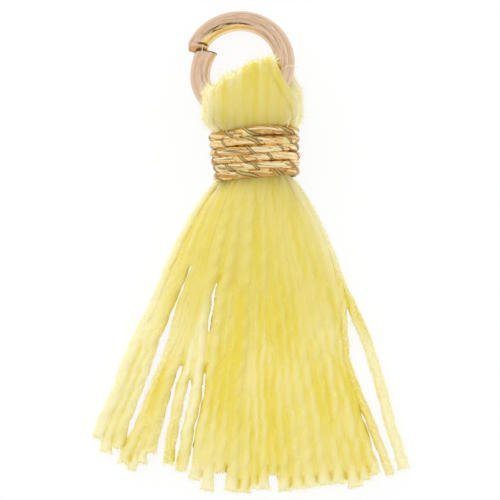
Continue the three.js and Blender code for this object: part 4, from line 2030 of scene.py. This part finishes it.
@dataclass
class JumpRing:
    """The open ring of drawn wire, lying tilted in the loop.

    Args:
        outside, wire: outer diameter, and the wire's.
        upper_end, lower_end: where the wire starts and stops, in degrees round the ring.
        lower_radius, bend_from: how far in the lower end is bent, and where that bend begins.
        upper_bend: how far the upper end is bent inwards.
        pressed: how far from the ring's middle the cutter has pressed that end flat.
        bevel: slope of that end's cut on its inner side, where it looks upwards.
        tilt, low_side: slope of the ring's plane, and the side that touches the table, in degrees.
        pinch, thin: length over which each end is pinched flat, and the thickness that the upper
            and the lower end keep.
        cut_slant: how much further the wire reaches on its outside than in its middle at the upper
            end, and on its inside at the lower end, for each unit across.
        flat: share of the radius at which the wire's upper side is rolled flat.
        flat_side: direction of that flat, in degrees from the outside towards the top.
    """

    finish: PlatedFinish = PlatedFinish()
    outside: float = 5.0
    wire: float = 0.88
    upper_end: float = 158.9
    lower_end: float = 157.6
    lower_radius: float = 1.55
    bend_from: float = 250.0
    upper_bend: float = 0.04
    pressed: float = 2.21
    bevel: float = 1.3
    tilt: float = 17.0
    low_side: float = 112.0
    pinch: float = 0.5
    thin: tuple[float, float] = (0.3, 0.75)
    cut_slant: float = 0.28
    flat: float = 0.9
    flat_side: float = 72.0
    steps: int = 260
    sides: int = 32

    def line(self) -> Array:
        """Centre line of the wire in the ring's own plane, from the upper end to the lower.

        The radius is constant, and eases in to the ends' over the first and last parts of the turn.

        Returns:
            (1, steps, 3) points, evenly spaced.
        """
        turn = np.linspace(self.upper_end, self.lower_end - 360, self.steps)
        bent = ease(-turn, 360 - self.bend_from, 360 - self.lower_end)
        radius = (self.outside - self.wire) / 2
        reach = radius + (self.lower_radius - radius) * bent
        reach = reach - self.upper_bend * ease(turn, self.upper_end - 24, self.upper_end)
        angle = np.radians(turn)
        line = np.stack([reach * np.cos(angle), reach * np.sin(angle), 0 * turn], -1)[None]
        return even_steps(line, self.steps)

    def outline(self) -> Array:
        """Outline of the wire: a circle, less where flat / cos of the angle off the flat is nearer."""
        off = np.cos(round_the(self.sides) + math.radians(self.flat_side))
        return np.minimum(1.0, self.flat / np.maximum(off, 0.05)) * self.wire / 2

    def surface(self) -> Surface:
        """The wire in the ring's own plane, with its ends pinched, cut and pressed.

        Each corner moves along the wire by the slant times its distance outwards. At the upper end's
        inner half it moves by the bevel times its height too.

        Returns:
            The wire's surface.
        """
        line = self.line()
        whole = lengths(line)[0, -1]
        place = np.linspace(0, whole, self.steps)[None]
        near_end = np.minimum(place, whole - place)
        pinched = 1 - ease(near_end, 0.0, self.pinch)
        thin = 1 - (1 - np.where(place < whole / 2, *self.thin)) * pinched
        reach = (1 + 0.08 * pinched)[..., None] * self.outline()
        tubes = Carried(line, reach, unit(line), thin)
        inwards = reach * np.cos(round_the(self.sides))
        shift = -self.cut_slant * (1 - ease(near_end, 0, 1.0))[..., None] * inwards
        at_start = (1 - ease(place, 0, 0.35))[..., None]
        shift += self.bevel * at_start * (0.5 - 0.5 * inwards / reach) * tubes.skin[..., 2]
        tubes.skin += shift[..., None] * tubes.along[:, :, None]
        start = place[0] < 1.2
        tubes.skin[:, start, :, 0] = np.maximum(tubes.skin[:, start, :, 0], -self.pressed)
        return tubes.surface()

    def build(self) -> bpy.types.Object:
        """Builds the ring where its node lies, and dresses it.

        Returns:
            The piece.
        """
        surface = self.surface()
        whole = float(surface.uv[::2].max())
        low = math.radians(self.low_side)
        hinge = np.array([-math.sin(low), math.cos(low), 0.0])
        surface.points = rotated(surface.points, hinge, math.radians(self.tilt))
        low_box, high_box = in_millimetres(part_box("jump_ring"))
        shift = high_box - surface.points.max(0)
        shift[2] = low_box[2] - surface.points[:, 2].min()
        surface.points = surface.points + shift
        piece = surface.build("open_ring", replace(self.finish, whole=whole).make())
        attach(piece, "root")
        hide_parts("jump_ring")
        return piece


def rotated(vectors: Array, axis: Array, angle: float) -> Array:
    """Turns vectors about a unit axis by Rodrigues' formula."""
    turned = vectors * math.cos(angle) + np.cross(axis, vectors) * math.sin(angle)
    return turned + axis * (vectors @ axis)[..., None] * (1 - math.cos(angle))


# ---------------------------------------------------------------- the studio


@dataclass
class Studio:
    """Pale floor, soft lamps and the camera straight above.

    Args:
        picture, floor_half: width of the picture on the table, and half the floor's, in millimetres.
        aim: how far the camera's aim lies from the middle of the tassel.
        lens, sensor: focal length, and width of the camera's sensor.
        kept_white: share of white that the camera sees on the floor, over what is lit.
        around: strength of the light from all round.
    """

    picture: float = 22.0
    aim: tuple[float, float] = (-0.11, 0.09)
    lens: float = 150.0
    sensor: float = 36.0
    floor_half: float = 400.0
    kept_white: float = 0.9
    around: float = 0.63

    def floor(self) -> None:
        """Lays the floor: white to the camera, with a part of the shadow kept."""
        material, g, shader = new_material("pale_floor")
        g.fill(shader, {"Base Color": (0.93, 0.93, 0.93, 1), "Roughness": 0.9})
        light = g.node("ShaderNodeLightPath").outputs
        glow = g.node("ShaderNodeEmission", {"Color": (1, 1, 1, 1), "Strength": 1.0})
        seen = g.greater(light["Is Camera Ray"], light["Is Glossy Ray"])
        share = g.times(g.greater(seen, light["Is Transmission Ray"]), self.kept_white)
        mix = g.node("ShaderNodeMixShader", {0: share, 1: shader.outputs[0], 2: glow.outputs[0]})
        g.fill(g.tree.nodes["Material Output"], {"Surface": mix.outputs[0]})
        grid = np.linspace(-self.floor_half, self.floor_half, 3)
        x, y = np.meshgrid(grid, grid, indexing="ij")
        points = np.stack([x.ravel(), y.ravel(), np.full(9, -0.01)], -1)
        corner = np.arange(9).reshape(3, 3)
        quads = np.stack([corner[:-1, :-1], corner[1:, :-1], corner[1:, 1:], corner[:-1, 1:]], -1)
        floor = Surface(points, quads).build("floor", material)
        floor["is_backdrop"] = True

    def world(self) -> None:
        """Sets the soft light from all round, white where it is seen, with a brighter band in gleams."""
        world = bpy.data.worlds.new("studio")
        world.use_nodes = True
        bpy.context.scene.world = world
        g = Graph(world.node_tree)
        light = g.node("ShaderNodeLightPath").outputs
        seen = g.greater(light["Is Camera Ray"], light["Is Transmission Ray"])
        height = g.parts(g.node("ShaderNodeTexCoord").outputs["Generated"])[2]
        band = g.times(g.steps(height, 0.5, 0.58), g.rest(g.steps(height, 0.66, 0.76)))
        gleam = g.times(light["Is Glossy Ray"], g.between(0.16, 0.51, band))
        strength = g.plus(g.between(self.around, 1.0, seen), gleam)
        inputs = {"Color": (1, 1, 1, 1), "Strength": strength}
        g.fill(world.node_tree.nodes["Background"], inputs)

    def lamps(self) -> None:
        """Hangs two soft lamps: the key over the upper left, a fill over the right."""
        for name, where, size, watts in (
            ("key", (-90, 110, 160), 280, 0.33),
            ("fill", (130, -60, 140), 220, 0.1),
        ):
            data = bpy.data.lights.new(name, "AREA")
            data.size = size * MM
            data.energy = watts
            lamp = bpy.data.objects.new(name, data)
            lamp.location = Vector(where) * MM
            lamp.rotation_euler = (-lamp.location).to_track_quat("-Z", "Y").to_euler()
            lamp.visible_glossy = False
            bpy.context.scene.collection.objects.link(lamp)

    def camera(self) -> None:
        """Puts the camera straight above the tassel."""
        low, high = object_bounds()
        middle = (Vector(low) + Vector(high)) / 2
        data = bpy.data.cameras.new("camera")
        data.lens = self.lens
        data.sensor_width = self.sensor
        data.clip_start = 0.001
        data.clip_end = 10.0
        away = self.picture * MM * self.lens / self.sensor
        camera = bpy.data.objects.new("camera", data)
        camera.location = (middle.x + self.aim[0] * MM, middle.y + self.aim[1] * MM, away + 0.001)
        bpy.context.scene.collection.objects.link(camera)
        bpy.context.scene.camera = camera
        bpy.context.scene.view_settings.view_transform = "Standard"

    def set_up(self) -> None:
        """Sets up everything round the tassel."""
        self.floor()
        self.world()
        self.lamps()
        self.camera()


def main() -> None:
    """Builds the tassel round its frame."""
    logging.basicConfig(level=logging.INFO, format="%(message)s")
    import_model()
    Studio().set_up()
    neck = Neck.of_frame()
    pieces = Hank(neck).build()
    pieces.append(Binding(neck).build())
    pieces.append(JumpRing().build())
    for piece in pieces:
        LOG.info("%s: %d faces", piece.name, len(piece.data.polygons))


if __name__ == "__main__":
    main()
